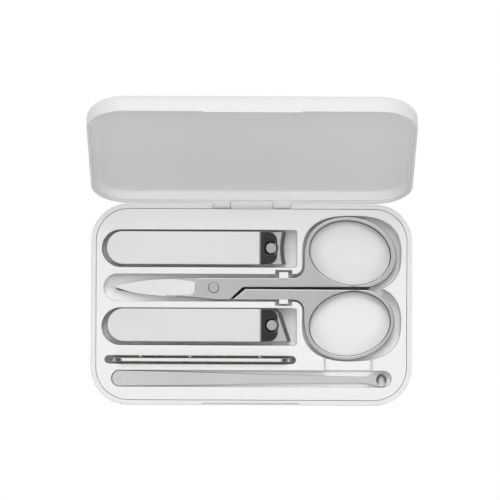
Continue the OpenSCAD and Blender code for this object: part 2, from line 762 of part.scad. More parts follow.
module curved_clipper_lower_jaw() { color(steel) at_curved() lower_jaw(false); }
module curved_clipper_upper_jaw() { at_curved() upper_jaw(false); }
module curved_clipper_lever() { at_curved() lever(); }
module curved_clipper_pin() { at_curved() clip_pin(); }
module curved_clipper_rivet() { at_curved() leaf_rivet(); }
module slant_clipper_lower_jaw() { color(steel) at_slant() lower_jaw(true); }
module slant_clipper_upper_jaw() { at_slant() upper_jaw(true); }
module slant_clipper_lever() { at_slant() lever(); }
module slant_clipper_pin() { at_slant() clip_pin(); }
module slant_clipper_rivet() { at_slant() leaf_rivet(); }

// ---- scissors, drawn with the pivot at x = 0 and the line between the shanks at y = 0 ----

// One blade and the pivot's boss, ending on the diagonal step and reaching into its own shank
module blade_plan(len, up, down) {
    side = shank_gap / 2;
    polygon([
        [-len, 0.1 * up], [-0.8 * len, 0.55 * up], [-0.63 * len, 0.77 * up],
        [-0.2 * len, 0.95 * up], [0, up], [step_to + 1, up], [step_to + 1, side],
        [step_to, side], [step_from, -down], [0.5, -down], [-0.23 * len, -0.82 * down],
        [-0.53 * len, -0.73 * down], [-0.73 * len, -0.56 * down], [-0.88 * len, -0.27 * down]
    ]);
}

module ring_plan(less = 0) {
    translate([shank_len - less, ring_y]) rotate([0, 0, -ring_tilt])
        polygon(oval(ring_a - less, ring_b));
}

module ring_hole() {
    translate([shank_len - hole_shift, ring_y]) rotate([0, 0, -ring_tilt])
        polygon(oval(ring_a - ring_band, ring_b - ring_band + side_band));
}

// Plan of a shank with its finger ring. side is the body's reach on the ring's side
module handle_plan(side, less = 0) {
    left = shank_len - ring_half_x - 0.35;
    r = 4;
    difference() {
        union() {
            polygon([[step_from + step_gap, side], [step_to + step_gap, shank_gap / 2],
                     [shank_len, shank_gap / 2], [shank_len, side]]);
            ring_plan(less);
            polygon([[left, side], [shank_len, side], [shank_len, ring_y + 4],
                     [left + 1.1, ring_y + 4], [left + 0.25, ring_y + 1.5], [left, ring_y - 1]]);
            // fillet between the shank and the ring
            difference() {
                translate([left - r, side - 1]) square([r + 1, r + 1]);
                translate([left - r, side + r]) circle(r);
            }
        }
        ring_hole();
        translate([0, shank_gap / 2 - cut]) square([3 * shank_len, cut]);
    }
}

module scissors_top_half() {
    color(steel) translate([pivot_x, line_y, 0]) difference() {
        union() {
            translate([0, 0, top_blade_z]) linear_extrude(blade_t)
                blade_plan(blade_len, body_up, body_down);
            translate([0, 0, ring_z]) linear_extrude(ring_t) handle_plan(body_up);
        }
        translate([0, pivot_y - line_y, scissors_z]) cylinder(r = rivet_r + fit, h = cut);
    }
}

module scissors_bottom_half() {
    color(steel) translate([pivot_x, line_y, 0]) difference() {
        union() {
            translate([0, 0, scissors_z]) linear_extrude(blade_t) mirror([0, 1])
                blade_plan(blade_len - 2 * hide, body_down - hide, body_up - hide);
            translate([0, 0, ring_z]) linear_extrude(ring_t) mirror([0, 1])
                handle_plan(body_down, front_less);
        }
        translate([0, pivot_y - line_y, scissors_z - 1]) {
            cylinder(r = rivet_r + fit, h = cut);
            cylinder(r = rivet_head_r + 0.1, h = 1.6);
        }
    }
}

module scissors_rivet() {
    top = top_blade_z + blade_t + 0.03;
    color(steel) translate([pivot_x, pivot_y, 0]) rotate_extrude() polygon([
        [0, scissors_z], [rivet_head_r, scissors_z], [rivet_head_r, scissors_z + 0.5],
        [rivet_r, scissors_z + 0.5], [rivet_r, top], [rivet_head_r, top],
        [rivet_head_r - 0.2, top + 0.3], [0, top + 0.3]]);
}

// ---- file and pick ----

module nail_file() {
    color(steel) translate([file_x + file_len / 2, file_y + file_t / 2, pocket_z + file_w / 2])
        rotate([90, 0, 0]) linear_extrude(file_t) rounded(file_len, file_w, file_w / 2 - 0.4);
}

// Back half of the outline, right to left: dished head, tapering stem, round broad end
function pick_side() = let (w = pick_w / 2, head_x = pick_len - head_a) concat(
    [for (t = [0 : 15 : 120]) [head_x + head_a * cos(t), head_b * sin(t)]],
    [[0.94 * pick_len, 0.63 * w], [0.92 * pick_len, 0.47 * w], [0.89 * pick_len, 0.41 * w],
     [0.75 * pick_len, 0.5 * w], [0.52 * pick_len, 0.64 * w], [0.25 * pick_len, 0.86 * w]],
    arc(w, 0, w, 90, 180, 12)
);

module ear_pick() {
    dish_r = 2.7;
    dish_depth = 0.8;
    side = pick_side();
    last = len(side) - 1;
    color(steel) translate([pick_x, pick_y, pick_z]) rotate([0, 0, -pick_lean]) difference() {
        linear_extrude(pick_t) polygon(concat(
            side, [for (i = [last - 1 : -1 : 1]) [side[i][0], -side[i][1]]]));
        translate([pick_len - head_a, 0, pick_t - dish_depth + dish_r]) sphere(r = dish_r);
    }
}

base_shell();
tray_insert();
clip_tab_back();
clip_tab_front();
base_magnet();
hinge_pin();
lid_shell();
lid_liner();
lid_magnet();
curved_clipper_lower_jaw();
curved_clipper_upper_jaw();
curved_clipper_lever();
curved_clipper_pin();
curved_clipper_rivet();
slant_clipper_lower_jaw();
slant_clipper_upper_jaw();
slant_clipper_lever();
slant_clipper_pin();
slant_clipper_rivet();
scissors_bottom_half();
scissors_top_half();
scissors_rivet();
nail_file();
ear_pick();
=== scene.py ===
"""An open manicure set case, seen from straight above on a white studio floor.

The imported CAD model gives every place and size. Each class below rebuilds one
sub-assembly as a finer mesh in the same place, breaks its edges, gives it its
finish and lets it ride on the CAD body that it belongs to. Sizes are in
millimetres until a mesh is made, and +Y is the side of the hinge.
"""
import logging
import math
from collections.abc import Callable, Sequence
from dataclasses import dataclass, replace
from enum import Enum

import bmesh
import bpy
from mathutils import Matrix, Vector
from mathutils.geometry import tessellate_polygon


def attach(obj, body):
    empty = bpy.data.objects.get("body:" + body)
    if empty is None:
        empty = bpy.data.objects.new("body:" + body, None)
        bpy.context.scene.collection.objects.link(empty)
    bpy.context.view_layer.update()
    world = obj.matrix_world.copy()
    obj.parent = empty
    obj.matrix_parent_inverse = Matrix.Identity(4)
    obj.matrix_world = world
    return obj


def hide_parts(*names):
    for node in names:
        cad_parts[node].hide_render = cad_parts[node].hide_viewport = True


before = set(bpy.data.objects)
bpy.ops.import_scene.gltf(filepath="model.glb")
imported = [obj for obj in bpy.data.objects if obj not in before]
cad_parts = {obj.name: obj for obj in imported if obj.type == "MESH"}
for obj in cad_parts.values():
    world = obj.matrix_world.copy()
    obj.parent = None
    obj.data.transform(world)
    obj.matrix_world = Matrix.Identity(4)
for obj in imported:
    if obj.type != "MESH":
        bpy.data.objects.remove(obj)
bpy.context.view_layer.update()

MM = 0.001
SHARP_ANGLE = math.radians(38)
# Millimetres: points that are one, points that count as one in a plan, and short edges.
SAME_POINT = 1e-5
CLOSE = 1e-4
SLIVER = 2e-3
# Half the length of a step between two sections.
STEP = 0.02
# A ring this far past a rounding keeps the face beside it flat.
SUPPORT = 0.08
# A face lies flat when its normal's Z is above this.
FLAT = 0.97
# The least cosine that a corner's inset is divided by, so that sharp ones don't shoot out.
MITRE = 0.35
# How many clouds of roughness, and bands of a wave texture of scale 1, go to the metre.
CLOUDS = 60.0
BANDS = 3.14
LOG = logging.getLogger("manicure_case")

Point = tuple[float, float]
Loop = list[Point]
Profile = list[Point]
Corners = Sequence[tuple[float, float, float]]


# ---- plan curves ----


def arc(x: float, y: float, r: float, start: float, end: float, steps: int = 10) -> Loop:
    """Samples a circular arc.

    Args:
        x, y: centre.
        r: radius.
        start, end: angles in degrees; end below start runs clockwise.
        steps: number of chords.

    Returns:
        The points from start to end, both included.
    """
    turns = [math.radians(start + (end - start) * i / steps) for i in range(steps + 1)]
    return [(x + r * math.cos(t), y + r * math.sin(t)) for t in turns]


def circle(x: float, y: float, r: float, steps: int = 40) -> Loop:
    """A closed circle, counter-clockwise from its right end."""
    return arc(x, y, r, 0, 360, steps)[:-1]


def spokes(r: float, degrees: Sequence[float]) -> Loop:
    """The points at radius r round the origin, at the given angles."""
    return [(r * math.cos(math.radians(a)), r * math.sin(math.radians(a))) for a in degrees]


def oval(x: float, y: float, a: float, b: float, power: float = 2.0, lean: float = 0.0,
         steps: int = 144) -> Loop:
    """Samples a superellipse, counter-clockwise from its right end.

    Args:
        x, y: centre.
        a, b: half axes.
        power: 2 for a plain ellipse, more for a squarer one.
        lean: degrees that the long axis is turned by.
        steps: number of points.

    Returns:
        The closed outline.
    """
    turn = math.radians(lean)
    loop = []
    for i in range(steps):
        t = 2 * math.pi * i / steps
        u = a * math.copysign(abs(math.cos(t)) ** (2 / power), math.cos(t))
        v = b * math.copysign(abs(math.sin(t)) ** (2 / power), math.sin(t))
        loop.append((x + u * math.cos(turn) - v * math.sin(turn),
                     y + u * math.sin(turn) + v * math.cos(turn)))
    return loop


def rounded_box(w: float, d: float, r: float, x: float = 0.0, y: float = 0.0,
                steps: int = 16) -> Loop:
    """A rounded rectangle round (x, y), counter-clockwise.

    Args:
        w, d: width along X and depth along Y.
        r: corner radius.
        x, y: centre.
        steps: chords in each corner.

    Returns:
        The closed outline.
    """
    loop = []
    for sx, sy, turn in ((1, 1, 0), (-1, 1, 90), (-1, -1, 180), (1, -1, 270)):
        loop += arc(x + sx * (w / 2 - r), y + sy * (d / 2 - r), r, turn, turn + 90, steps)
    return loop


def rounded(corners: Corners, steps: int = 6) -> Loop:
    """A polygon with each corner rounded by its own radius.

    Args:
        corners: (x, y, radius) for each corner, in order. Radius 0 leaves it sharp.
        steps: chords in each rounding.

    Returns:
        The closed outline.
    """
    loop: Loop = []
    for i, (x, y, r) in enumerate(corners):
        here = Vector((x, y))
        before = (Vector(corners[i - 1][:2]) - here).normalized()
        after = (Vector(corners[(i + 1) % len(corners)][:2]) - here).normalized()
        if not r:
            loop.append((x, y))
            continue
        half = before.angle(after) / 2
        reach = r / math.tan(half)
        centre = here + (before + after).normalized() * (r / math.sin(half))
        a, b = here + before * reach - centre, here + after * reach - centre
        start = math.atan2(a.y, a.x)
        sweep = math.remainder(math.atan2(b.y, b.x) - start, 2 * math.pi)
        loop += arc(centre.x, centre.y, r, math.degrees(start),
                    math.degrees(start + sweep), steps)
    return loop


def slot(x: float, y: float, length: float, w: float, right_r: float) -> Loop:
    """A pocket outline: a full half circle at its left end x, rounded corners at its right.

    Args:
        x, y: left end and centre line.
        length, w: size.
        right_r: radius of the two right corners.

    Returns:
        The closed outline, counter-clockwise.
    """
    r, right = w / 2, x + length - right_r
    return (arc(right, y - r + right_r, right_r, -90, 0, 8)
            + arc(right, y + r - right_r, right_r, 0, 90, 8)
            + arc(x + r, y, r, 90, 270, 32))


def clean(loop: Loop) -> Loop:
    """The loop without points that repeat the one before."""
    return [p for i, p in enumerate(loop) if math.dist(p, loop[i - 1]) > CLOSE]


def normals(loop: Loop) -> list[Vector]:
    """Inward normals of a counter-clockwise loop, lengthened at its corners.

    Args:
        loop: closed outline.

    Returns:
        One vector for each point; moving the point by it insets both edges by 1.
    """
    out = []
    for i, (x, y) in enumerate(loop):
        u = Vector((x - loop[i - 1][0], y - loop[i - 1][1])).normalized()
        after = loop[(i + 1) % len(loop)]
        v = Vector((after[0] - x, after[1] - y)).normalized()
        m = (u + v).normalized()
        n = Vector((-m.y, m.x))
        out.append(n / max(MITRE, n.dot(Vector((-u.y, u.x)))))
    return out


def stations(loop: Loop, xs: Sequence[float]) -> Loop:
    """Adds a point wherever a straight run along X passes one of the places xs.

    Args:
        loop: closed outline.
        xs: places along X.

    Returns:
        The loop with the added points.
    """
    out: Loop = []
    for i, (x, y) in enumerate(loop):
        nx, ny = loop[(i + 1) % len(loop)]
        out.append((x, y))
        if abs(ny - y) < CLOSE:
            between = [s for s in xs if min(x, nx) + CLOSE < s < max(x, nx) - CLOSE]
            out += [(s, y) for s in sorted(between, reverse=nx < x)]
    return out


def beside(places: Sequence[float]) -> list[float]:
    """Just before and just after each of the places, on both sides of 0."""
    return [s * (e + d) for e in places for s in (-1, 1) for d in (-STEP, STEP)]


def round_edge(r: float, top: float, steps: int = 4, down: float = 1.0,
               reach: float | None = None) -> Profile:
    """A quarter round from a wall up to a flat face.

    Args:
        r: radius of the rounding.
        top: height of the flat face.
        steps: chords.
        down: 1 if the wall lies below the face, -1 if above.
        reach: how far a wider, flatter shoulder runs in.

    Returns:
        (inset, height) pairs from the wall to the face.
    """
    turns = [math.pi / 2 * i / steps for i in range(steps + 1)]
    return [((reach or r) * (1 - math.cos(t)), top - down * r * (1 - math.sin(t)))
            for t in turns]


def flipped(profile: Profile) -> Profile:
    """The same profile or loop walked the other way."""
    return profile[::-1]


def smooth(points: Loop, steps: int = 5) -> Loop:
    """Runs a Catmull-Rom curve through the points.

    Args:
        points: the curve's points, in order.
        steps: chords between two of them.

    Returns:
        The finer curve, ends included.
    """
    ends = [points[0], *points, points[-1]]
    out: Loop = []
    for a, b, c, d in zip(ends, ends[1:], ends[2:], ends[3:]):
        for i in range(steps):
            t = i / steps
            out.append(tuple(0.5 * (2 * b[k] + (c[k] - a[k]) * t
                                    + (2 * a[k] - 5 * b[k] + 4 * c[k] - d[k]) * t * t
                                    + (3 * b[k] - a[k] - 3 * c[k] + d[k]) * t ** 3)
                             for k in (0, 1)))
    return out + [points[-1]]


def wound(loop: Loop) -> Loop:
    """The loop wound counter-clockwise."""
    twice = sum(loop[i - 1][0] * p[1] - p[0] * loop[i - 1][1] for i, p in enumerate(loop))
    return loop if twice > 0 else loop[::-1]


def grown(loop: Loop, by: float) -> Loop:
    """The loop moved outwards by a distance."""
    return [(x - n.x * by, y - n.y * by) for (x, y), n in zip(loop, normals(loop))]


# ---- mesh building ----


def linked(name: str, data: bpy.types.ID) -> bpy.types.Object:
    """Makes an object and puts it into the scene.

    Args:
        name: the object's name.
        data: its mesh, lamp or camera.

    Returns:
        The new object.
    """
    obj = bpy.data.objects.new(name, data)
    bpy.context.scene.collection.objects.link(obj)
    return obj


class Skin:
    """Points and faces of one closed piece, in millimetres."""

    def __init__(self, lay: Matrix | None = None) -> None:
        """Starts empty.

        Args:
            lay: places what is added, from its drawing to the case.
        """
        self.points: list[Vector] = []
        self.faces: list[tuple[int, ...]] = []
        self.lay = lay or Matrix.Identity(4)

    def ring(self, loop: Sequence[Point], z: float | Sequence[float]) -> list[int]:
        """Adds one ring of points.

        Args:
            loop: plan of the ring.
            z: its height, or one height for each point.

        Returns:
            The new points' indices.
        """
        start = len(self.points)
        heights = [z] * len(loop) if isinstance(z, (int, float)) else z
        self.points += [self.lay @ Vector((x, y, h)) for (x, y), h in zip(loop, heights)]
        return list(range(start, len(self.points)))

    def join(self, low: list[int], high: list[int]) -> None:
        """Closes the band between two rings of as many points."""
        n = len(low)
        self.faces += [(low[i], low[(i + 1) % n], high[(i + 1) % n], high[i])
                       for i in range(n)]

    def stack(self, rings: Sequence[list[int]]) -> None:
        """Joins each ring to the next."""
        for low, high in zip(rings, rings[1:]):
            self.join(low, high)

    def cap(self, *rings: list[int]) -> None:
        """Fills a ring with triangles.

        Args:
            rings: the outline's ring, then the ring of each hole in it.
        """
        index = [i for ring in rings for i in ring]
        back = self.lay.inverted()
        loops = [[(back @ self.points[i]).to_2d().to_3d() for i in ring] for ring in rings]
        self.faces += [tuple(index[i] for i in t) for t in tessellate_polygon(loops)]

    def close(self, *walls: tuple[list[int], list[int]]) -> None:
        """Caps both ends of a wall, less the holes that the further walls make."""
        for rings in zip(*walls):
            self.cap(*rings)

    def wall(self, loop: Loop, profile: Profile) -> tuple[list[int], list[int]]:
        """Sweeps a profile round a loop.

        Args:
            loop: closed outline, counter-clockwise.
            profile: (inset, height) pairs.

        Returns:
            The first ring and the last.
        """
        return self.varied_wall(loop, lambda x, y: profile)

    def varied_wall(self, loop: Loop,
                    section: Callable[[float, float], Profile]) -> tuple[list[int], list[int]]:
        """Sweeps a profile that differs along the loop.

        Args:
            loop: closed outline, counter-clockwise.
            section: gives each point its profile; all have the same length.

        Returns:
            The first ring and the last.
        """
        loop = clean(loop)
        sections = [section(x, y) for x, y in loop]
        inward = normals(loop)
        rings = []
        for k in range(len(sections[0])):
            moved = [(x + n.x * s[k][0], y + n.y * s[k][0])
                     for (x, y), n, s in zip(loop, inward, sections)]
            rings.append(self.ring(moved, [s[k][1] for s in sections]))
        self.stack(rings)
        return rings[0], rings[-1]

    def plate(self, loop: Loop, z0: float, z1: float, edge: float = 0.15,
              holes: Sequence[Loop] = (), top_edge: float | None = None,
              reach: float | None = None, hole_edge: float | None = None) -> None:
        """Adds a closed plate with rounded edges.

        Args:
            loop: outline, counter-clockwise.
            z0, z1: lower and upper face.
            edge: radius of every edge.
            holes: outlines of through holes, counter-clockwise.
            top_edge: radius of the upper edges, if another.
            reach: how far in the upper edges' shoulder runs, if further.
            hole_edge: radius of the holes' upper edges, if another.
        """
        upper = edge if top_edge is None else top_edge
        foot = [(edge + min(SUPPORT, edge / 2), z0), *flipped(round_edge(edge, z0, 3, -1))]
        side = [*foot, *round_edge(upper, z1, 6 if reach else 4, reach=reach),
                ((reach or upper) + min(SUPPORT, upper / 2), z1)]
        walls = [self.wall(loop, side)]
        if hole_edge:
            side = [*foot, *round_edge(hole_edge, z1, 6), (hole_edge + SUPPORT, z1)]
        walls += [self.wall(hole, [(-d, z) for d, z in side]) for hole in holes]
        self.close(*walls)

    def turned(self, profile: Profile, x: float = 0.0, y: float = 0.0,
               steps: int = 48) -> None:
        """Adds a solid of revolution about a vertical axis.

        Args:
            profile: (radius, height) pairs from bottom to top.
            x, y: place of the axis.
            steps: points round it.
        """
        (r0, z0), (r1, z1) = profile[0], profile[-1]
        rings = [self.ring(circle(x, y, r, steps), z)
                 for r, z in [(0.9 * r0, z0), *profile, (0.9 * r1, z1)]]
        self.stack(rings)
        self.close((rings[0], rings[-1]))

    def knuckle(self, r: float, length: float, web: Corners) -> None:
        """Adds a hinge knuckle along Z, with the web that holds it.

        Args:
            r, length: the knuckle's size.
            web: corners of the web's section.
        """
        self.plate(circle(0, 0, r), -length / 2, length / 2, 0.2)
        self.plate(rounded(web), -length / 2, length / 2)

    def piece(self, name: str, finish: "Finish", body: str, slot_name: str,
              replaced: Sequence[str] = (), cuts: Sequence[float] = (),
              bend: Callable[[Vector], Vector] | None = None,
              paint: Callable[[Vector, Vector], "Finish"] | None = None,
              more: Sequence["Finish"] = ()) -> None:
        """Makes the mesh, dresses it and lets it ride.

        Args:
            name: the piece's name.
            finish: its main finish.
            body: the CAD body that it rides on.
            slot_name: the record's material slot; not used.
            replaced: the CAD nodes that it stands for.
            cuts: places along X where the faces are split before bending.
            bend: moves each point.
            paint: gives a face its finish, from its centre and normal.
            more: the further finishes that paint may give.
        """
        bm = bmesh.new()
        verts = [bm.verts.new(p) for p in self.points]
        for face in self.faces:
            if len(set(face)) == len(face):
                bm.faces.new([verts[i] for i in face])
        bmesh.ops.remove_doubles(bm, verts=bm.verts, dist=SAME_POINT)
        for x in cuts:
            bmesh.ops.bisect_plane(bm, geom=[*bm.verts, *bm.edges, *bm.faces],
                                   plane_co=(x, 0, 0), plane_no=(1, 0, 0))
        for v in bm.verts if bend else ():
            v.co = bend(v.co)
        bmesh.ops.dissolve_degenerate(bm, dist=SLIVER, edges=bm.edges)
        bmesh.ops.recalc_face_normals(bm, faces=bm.faces)
        finishes = [finish, *more]
        for f in bm.faces if paint else ():
            f.material_index = finishes.index(paint(f.calc_center_median(), f.normal))
        bmesh.ops.scale(bm, vec=(MM, MM, MM), verts=bm.verts)
        mesh = bpy.data.meshes.new(name)
        bm.to_mesh(mesh)
        bm.free()
        mesh.shade_smooth()
        mesh.set_sharp_from_angle(angle=SHARP_ANGLE)
        for one in finishes:
            mesh.materials.append(one.material())
        obj = linked(name, mesh)
        shade = obj.modifiers.new("flat_faces_stay_flat", "WEIGHTED_NORMAL")
        shade.keep_sharp = True
        shade.weight = 100
        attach(obj, body)
        if replaced:
            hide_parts(*replaced)
        LOG.info("%s: %d faces, rides on %s", name, len(mesh.polygons), body)


# ---- finishes ----


def linear(code: str) -> tuple[float, float, float, float]:
    """Turns an sRGB hex colour into the linear RGBA that the shaders take."""
    parts = [int(code.lstrip("#")[i:i + 2], 16) / 255 for i in (0, 2, 4)]
    return (*(c / 12.92 if c <= 0.04045 else ((c + 0.055) / 1.055) ** 2.4 for c in parts),
            1.0)


def add_node(tree: bpy.types.NodeTree, kind: str, settings: dict | None = None,
             **links: object) -> bpy.types.Node:
    """Adds a shader node with its settings and links.

    Args:
        tree: the node tree.
        kind: the node's type name.
        settings: the node's own attributes.
        links: an input's name, with _ for a space, or in1 for the input at index 1,
            with a value, an output socket or a node, whose first output is taken.

    Returns:
        The new node.
    """
    node = tree.nodes.new(kind)
    for key, value in (settings or {}).items():
        setattr(node, key, value)
    for key, value in links.items():
        name = int(key[2:]) if key[:2] == "in" and key[2:].isdigit() else key.replace("_", " ")
        if isinstance(value, bpy.types.Node):
            value = value.outputs[0]
        if isinstance(value, bpy.types.NodeSocket):
            tree.links.new(value, node.inputs[name])
        else:
            node.inputs[name].default_value = value
    return node


def empty_tree(owner: bpy.types.Material | bpy.types.World) -> bpy.types.NodeTree:
    """Turns the owner's nodes on and clears them.

    Args:
        owner: a material or the world.

    Returns:
        Its node tree, now empty.
    """
    owner.use_nodes = True
    owner.node_tree.nodes.clear()
    return owner.node_tree


class Made(Enum):
    """How a surface was made, which sets its fine relief."""

    MOULDED = "moulded"
    BRUSHED = "brushed"
    BLASTED = "blasted"
    TURNED = "turned"
    ETCHED = "etched"


@dataclass(frozen=True)
class Finish:
    """One material: what it is and how its surface was made."""

    name: str
    colour: str
    made: Made
    metallic: float
    roughness: float
    grain: float
    relief: float
    ior: float = 1.5
    spread: float = 0.04
    stretch: tuple[float, float, float] = (1.0, 1.0, 1.0)
    centre: tuple[float, float] = (0.0, 0.0)

    def material(self) -> bpy.types.Material:
        """Builds the node material once, and finds it again after.

        Returns:
            The material.
        """
        known = bpy.data.materials.get(self.name)
        if known:
            return known
        mat = bpy.data.materials.new(self.name)
        tree = empty_tree(mat)
        place = add_node(tree, "ShaderNodeTexCoord").outputs["Object"]
        fine = self.pattern(tree, place)
        broad = add_node(tree, "ShaderNodeTexNoise", Vector=place, Scale=CLOUDS, Detail=2.0)
        rough = add_node(tree, "ShaderNodeMapRange", Value=broad.outputs["Fac"],
                         To_Min=self.roughness - self.spread,
                         To_Max=self.roughness + self.spread)
        bump = add_node(tree, "ShaderNodeBump", Height=fine, Strength=1.0,
                        Distance=self.relief * MM)
        shader = add_node(tree, "ShaderNodeBsdfPrincipled", Roughness=rough, Normal=bump,
                          Metallic=self.metallic, Base_Color=linear(self.colour))
        if not self.metallic:
            shader.inputs["IOR"].default_value = self.ior
        add_node(tree, "ShaderNodeOutputMaterial", Surface=shader)
        return mat

    def pattern(self, tree: bpy.types.NodeTree, place: bpy.types.NodeSocket) -> bpy.types.Node:
        """The height pattern of the surface, from 0 to 1.

        Args:
            tree: the node tree.
            place: object coordinates in metres.

        Returns:
            The node whose first output is the height.
        """
        per_metre = 1 / (self.grain * MM)
        if self.made is Made.ETCHED:
            spun = [add_node(tree, "ShaderNodeMapping", {"vector_type": "POINT"},
                             Vector=place, Rotation=(0.0, math.radians(a), 0.0))
                    for a in (35, -35)]
            waves = [add_node(tree, "ShaderNodeTexWave", Vector=s, Scale=per_metre / BANDS,
                              Distortion=0.0) for s in spun]
            return add_node(tree, "ShaderNodeMath", {"operation": "MINIMUM"},
                            in0=waves[0].outputs["Fac"], in1=waves[1].outputs["Fac"])
        if self.made is Made.TURNED:
            moved = add_node(tree, "ShaderNodeMapping", Vector=place,
                             Location=(-self.centre[0] * MM, -self.centre[1] * MM, 0.0))
            return add_node(tree, "ShaderNodeTexWave",
                            {"wave_type": "RINGS", "rings_direction": "Z"},
                            Vector=moved, Scale=per_metre / BANDS, Distortion=0.6,
                            Detail=2.0, Detail_Scale=2.0)
        sized = add_node(tree, "ShaderNodeMapping", {"vector_type": "POINT"}, Vector=place,
                         Scale=self.stretch)
        return add_node(tree, "ShaderNodeTexNoise", Vector=sized, Scale=per_metre,
                        Detail=3.0, Roughness=0.6)


# Injection-moulded ABS from a spark-eroded tool: an even, soft white with a fine matte grain.
SHELL_ABS = Finish("abs_spark_textured_white", "#efefef", Made.MOULDED, 0.0, 0.5, 0.22, 0.012,
                   ior=1.53)
# The same ABS from a blasted tool: a little smoother, so pocket edges take a thin highlight.
TRAY_ABS = Finish("abs_satin_moulded_tray", "#f4f4f4", Made.MOULDED, 0.0, 0.42, 0.18, 0.008,
                  ior=1.53)
LINER_ABS = Finish("abs_satin_moulded_liner", "#f7f7f7", Made.MOULDED, 0.0, 0.45, 0.2, 0.01,
                   ior=1.53)
# Stainless steel blasted with fine glass beads: flat, cloudless and without direction.
LEVER_STEEL = Finish("stainless_bead_blasted", "#dcdcdb", Made.BLASTED, 1.0, 0.22, 0.12, 0.002)
# Stainless steel brushed along the tool: fine lines that run with it.
BRUSHED_STEEL = Finish("stainless_brushed_long", "#bdbdbc", Made.BRUSHED, 1.0, 0.28, 0.12,
                       0.002, stretch=(0.03, 1.0, 1.0))
# The blades' ground faces: brighter, with grinding lines across the blade.
GROUND_STEEL = Finish("stainless_ground_across", "#e7e7e5", Made.BRUSHED, 1.0, 0.26, 0.12,
                      0.002, stretch=(1.0, 0.04, 1.0))
# The jaws' bevels are honed last, with a coarser stone; they lean away, and their colour is
# darkened as painted shade.
HONED_AND_SHADED_STEEL = Finish("stainless_honed_bevel_painted_shade", "#9b9b9a", Made.BRUSHED, 1.0, 0.3, 0.15,
                     0.002, stretch=(1.0, 0.04, 1.0))
# Dark, dull steel painted where the halves meet, on the clippers' inner faces and on steep
# roundings: painted shade for the narrow gaps, nearly black between the halves.
PAINTED_SHADE_STEEL = Finish("steel_painted_shade", "#343433", Made.BLASTED, 1.0, 0.55, 0.3, 0.004)
# Turned pins and rivets: faint rings round the axis.
TURNED_STEEL = Finish("stainless_turned", "#b9b9b8", Made.TURNED, 1.0, 0.32, 0.25, 0.003)
# The pick is polished lightly after stamping: paler, and its lines hardly show.
SATIN_STEEL = Finish("stainless_satin_stamped", "#d2d2d0", Made.BRUSHED, 1.0, 0.3, 0.12,
                     0.0015, stretch=(0.03, 1.0, 1.0))
# Pale steel on the file's bare ground edges and on the flatter part of the scissors' roundings:
# partly bare steel, partly a painted highlight where they catch the most light.
BARE_EDGE_AND_HIGHLIGHT_STEEL = Finish("stainless_bare_edge_painted_highlight", "#f2f2f0", Made.BRUSHED, 1.0, 0.3, 0.12,
                    0.001, stretch=(0.04, 1.0, 1.0))
# The file's sides are etched with two crossed rows of teeth.
ETCHED_STEEL = Finish("stainless_etched_file", "#a3a3a1", Made.ETCHED, 1.0, 0.4, 0.5, 0.06)
# Nickel-plated magnets, hidden under the tray and in the lid's housing.
NICKEL = Finish("nickel_plated_magnet", "#a9a8a4", Made.BLASTED, 1.0, 0.22, 0.3, 0.002)


# ---- the case ----


@dataclass
class Case:
    """Sizes that the shells, tray and lid share."""

    width: float = 120.0
    depth: float = 75.36
    height: float = 10.0
    corner: float = 14.2
    wall: float = 1.85
    floor: float = 1.2
    foot_r: float = 3.0
    notch_half: float = 18.2
    hinge_half: float = 14.5
    middle_half: float = 7.8
    knuckle_clear: float = 1.82
    hinge_y: float = 37.68
    lid_open: float = 115.2

    def along_hinge(self, x: float) -> Matrix:
        """Lays a drawing's Z along the hinge, its origin on the hinge line at x."""
        return Matrix(((0, 0, 1, x), (1, 0, 0, self.hinge_y), (0, 1, 0, self.height),
                       (0, 0, 0, 1)))

    def opened(self) -> Matrix:
        """Takes what is drawn closed to the open position.

        Returns:
            The turn about the hinge line.
        """
        hinge = Matrix.Translation((0, self.hinge_y, self.height))
        turn = Matrix.Rotation(math.radians(-self.lid_open), 4, "X")
        return hinge @ turn @ hinge.inverted()


@dataclass
class BaseShell:
    """The lower outer shell with its thumb notch and middle knuckle."""

    case: Case
    rim_r: float = 0.3
    rim_inside: tuple[Point, ...] = ((-0.4, 0.0), (-0.15, 0.0), (-0.04, -0.05), (0.0, -0.2))
    notch_in: float = 0.8
    notch_draft: float = 0.95
    notch_h: float = 4.0
    notch_end: float = 0.3
    knuckle_r: float = 1.4
    knuckle_len: float = 15.6
    web_t: float = 0.9
    web_foot: float = -3.8
    web_shoulder: float = -1.6
    web_top: float = -0.2
    web_out: float = 0.97
    web_back: float = 0.9
    web_r: float = 0.3
    cut_r: float = 1.7

    def section(self, x: float, y: float) -> Profile:
        """The shell's half section at a point of its plan, from underside to floor.

        Args:
            x, y: the point of the outline.

        Returns:
            (inset, height) pairs, always as many.
        """
        c = self.case
        top = c.height
        foot = [*flipped(round_edge(c.foot_r, 0.0, 8, -1)), (0, top - self.notch_h)]
        inner = [*((c.wall + d, top + z) for d, z in self.rim_inside), (c.wall, c.floor)]
        if y > 0 and c.middle_half < abs(x) < c.hinge_half:
            cut = [(v, top - u) for u, v in spokes(self.cut_r, range(0, 91, 15))]
            return foot + cut + inner[3:]
        w = self.notch_in if y < 0 and abs(x) < c.notch_half else 0.0
        rim = [(w + d, z) for d, z in round_edge(self.rim_r, top, 3)[1:]]
        return [*foot, (w * self.notch_draft, top - self.rim_r), *rim, *inner]

    def build(self) -> None:
        """Builds the shell, the knuckle and its web as one piece."""
        c = self.case
        ends = [c.notch_half, c.notch_half + self.notch_end, c.hinge_half, c.middle_half]
        loop = stations(rounded_box(c.width, c.depth, c.corner), beside(ends))
        skin = Skin()
        skin.close(skin.varied_wall(loop, self.section))
        skin.lay = c.along_hinge(0.0)
        r, low, top = self.knuckle_r, self.web_foot, self.web_top
        out = r * self.web_out
        skin.knuckle(r, self.knuckle_len,
                     [(-self.web_t, low, 0), (0.0, low, 0), (out, self.web_shoulder, self.web_r),
                      (out, top, 0), (-r * self.web_back, top, 0)])
        skin.piece("base_shell_moulding", SHELL_ABS, "case", "shell_plastic", ["base_shell"])


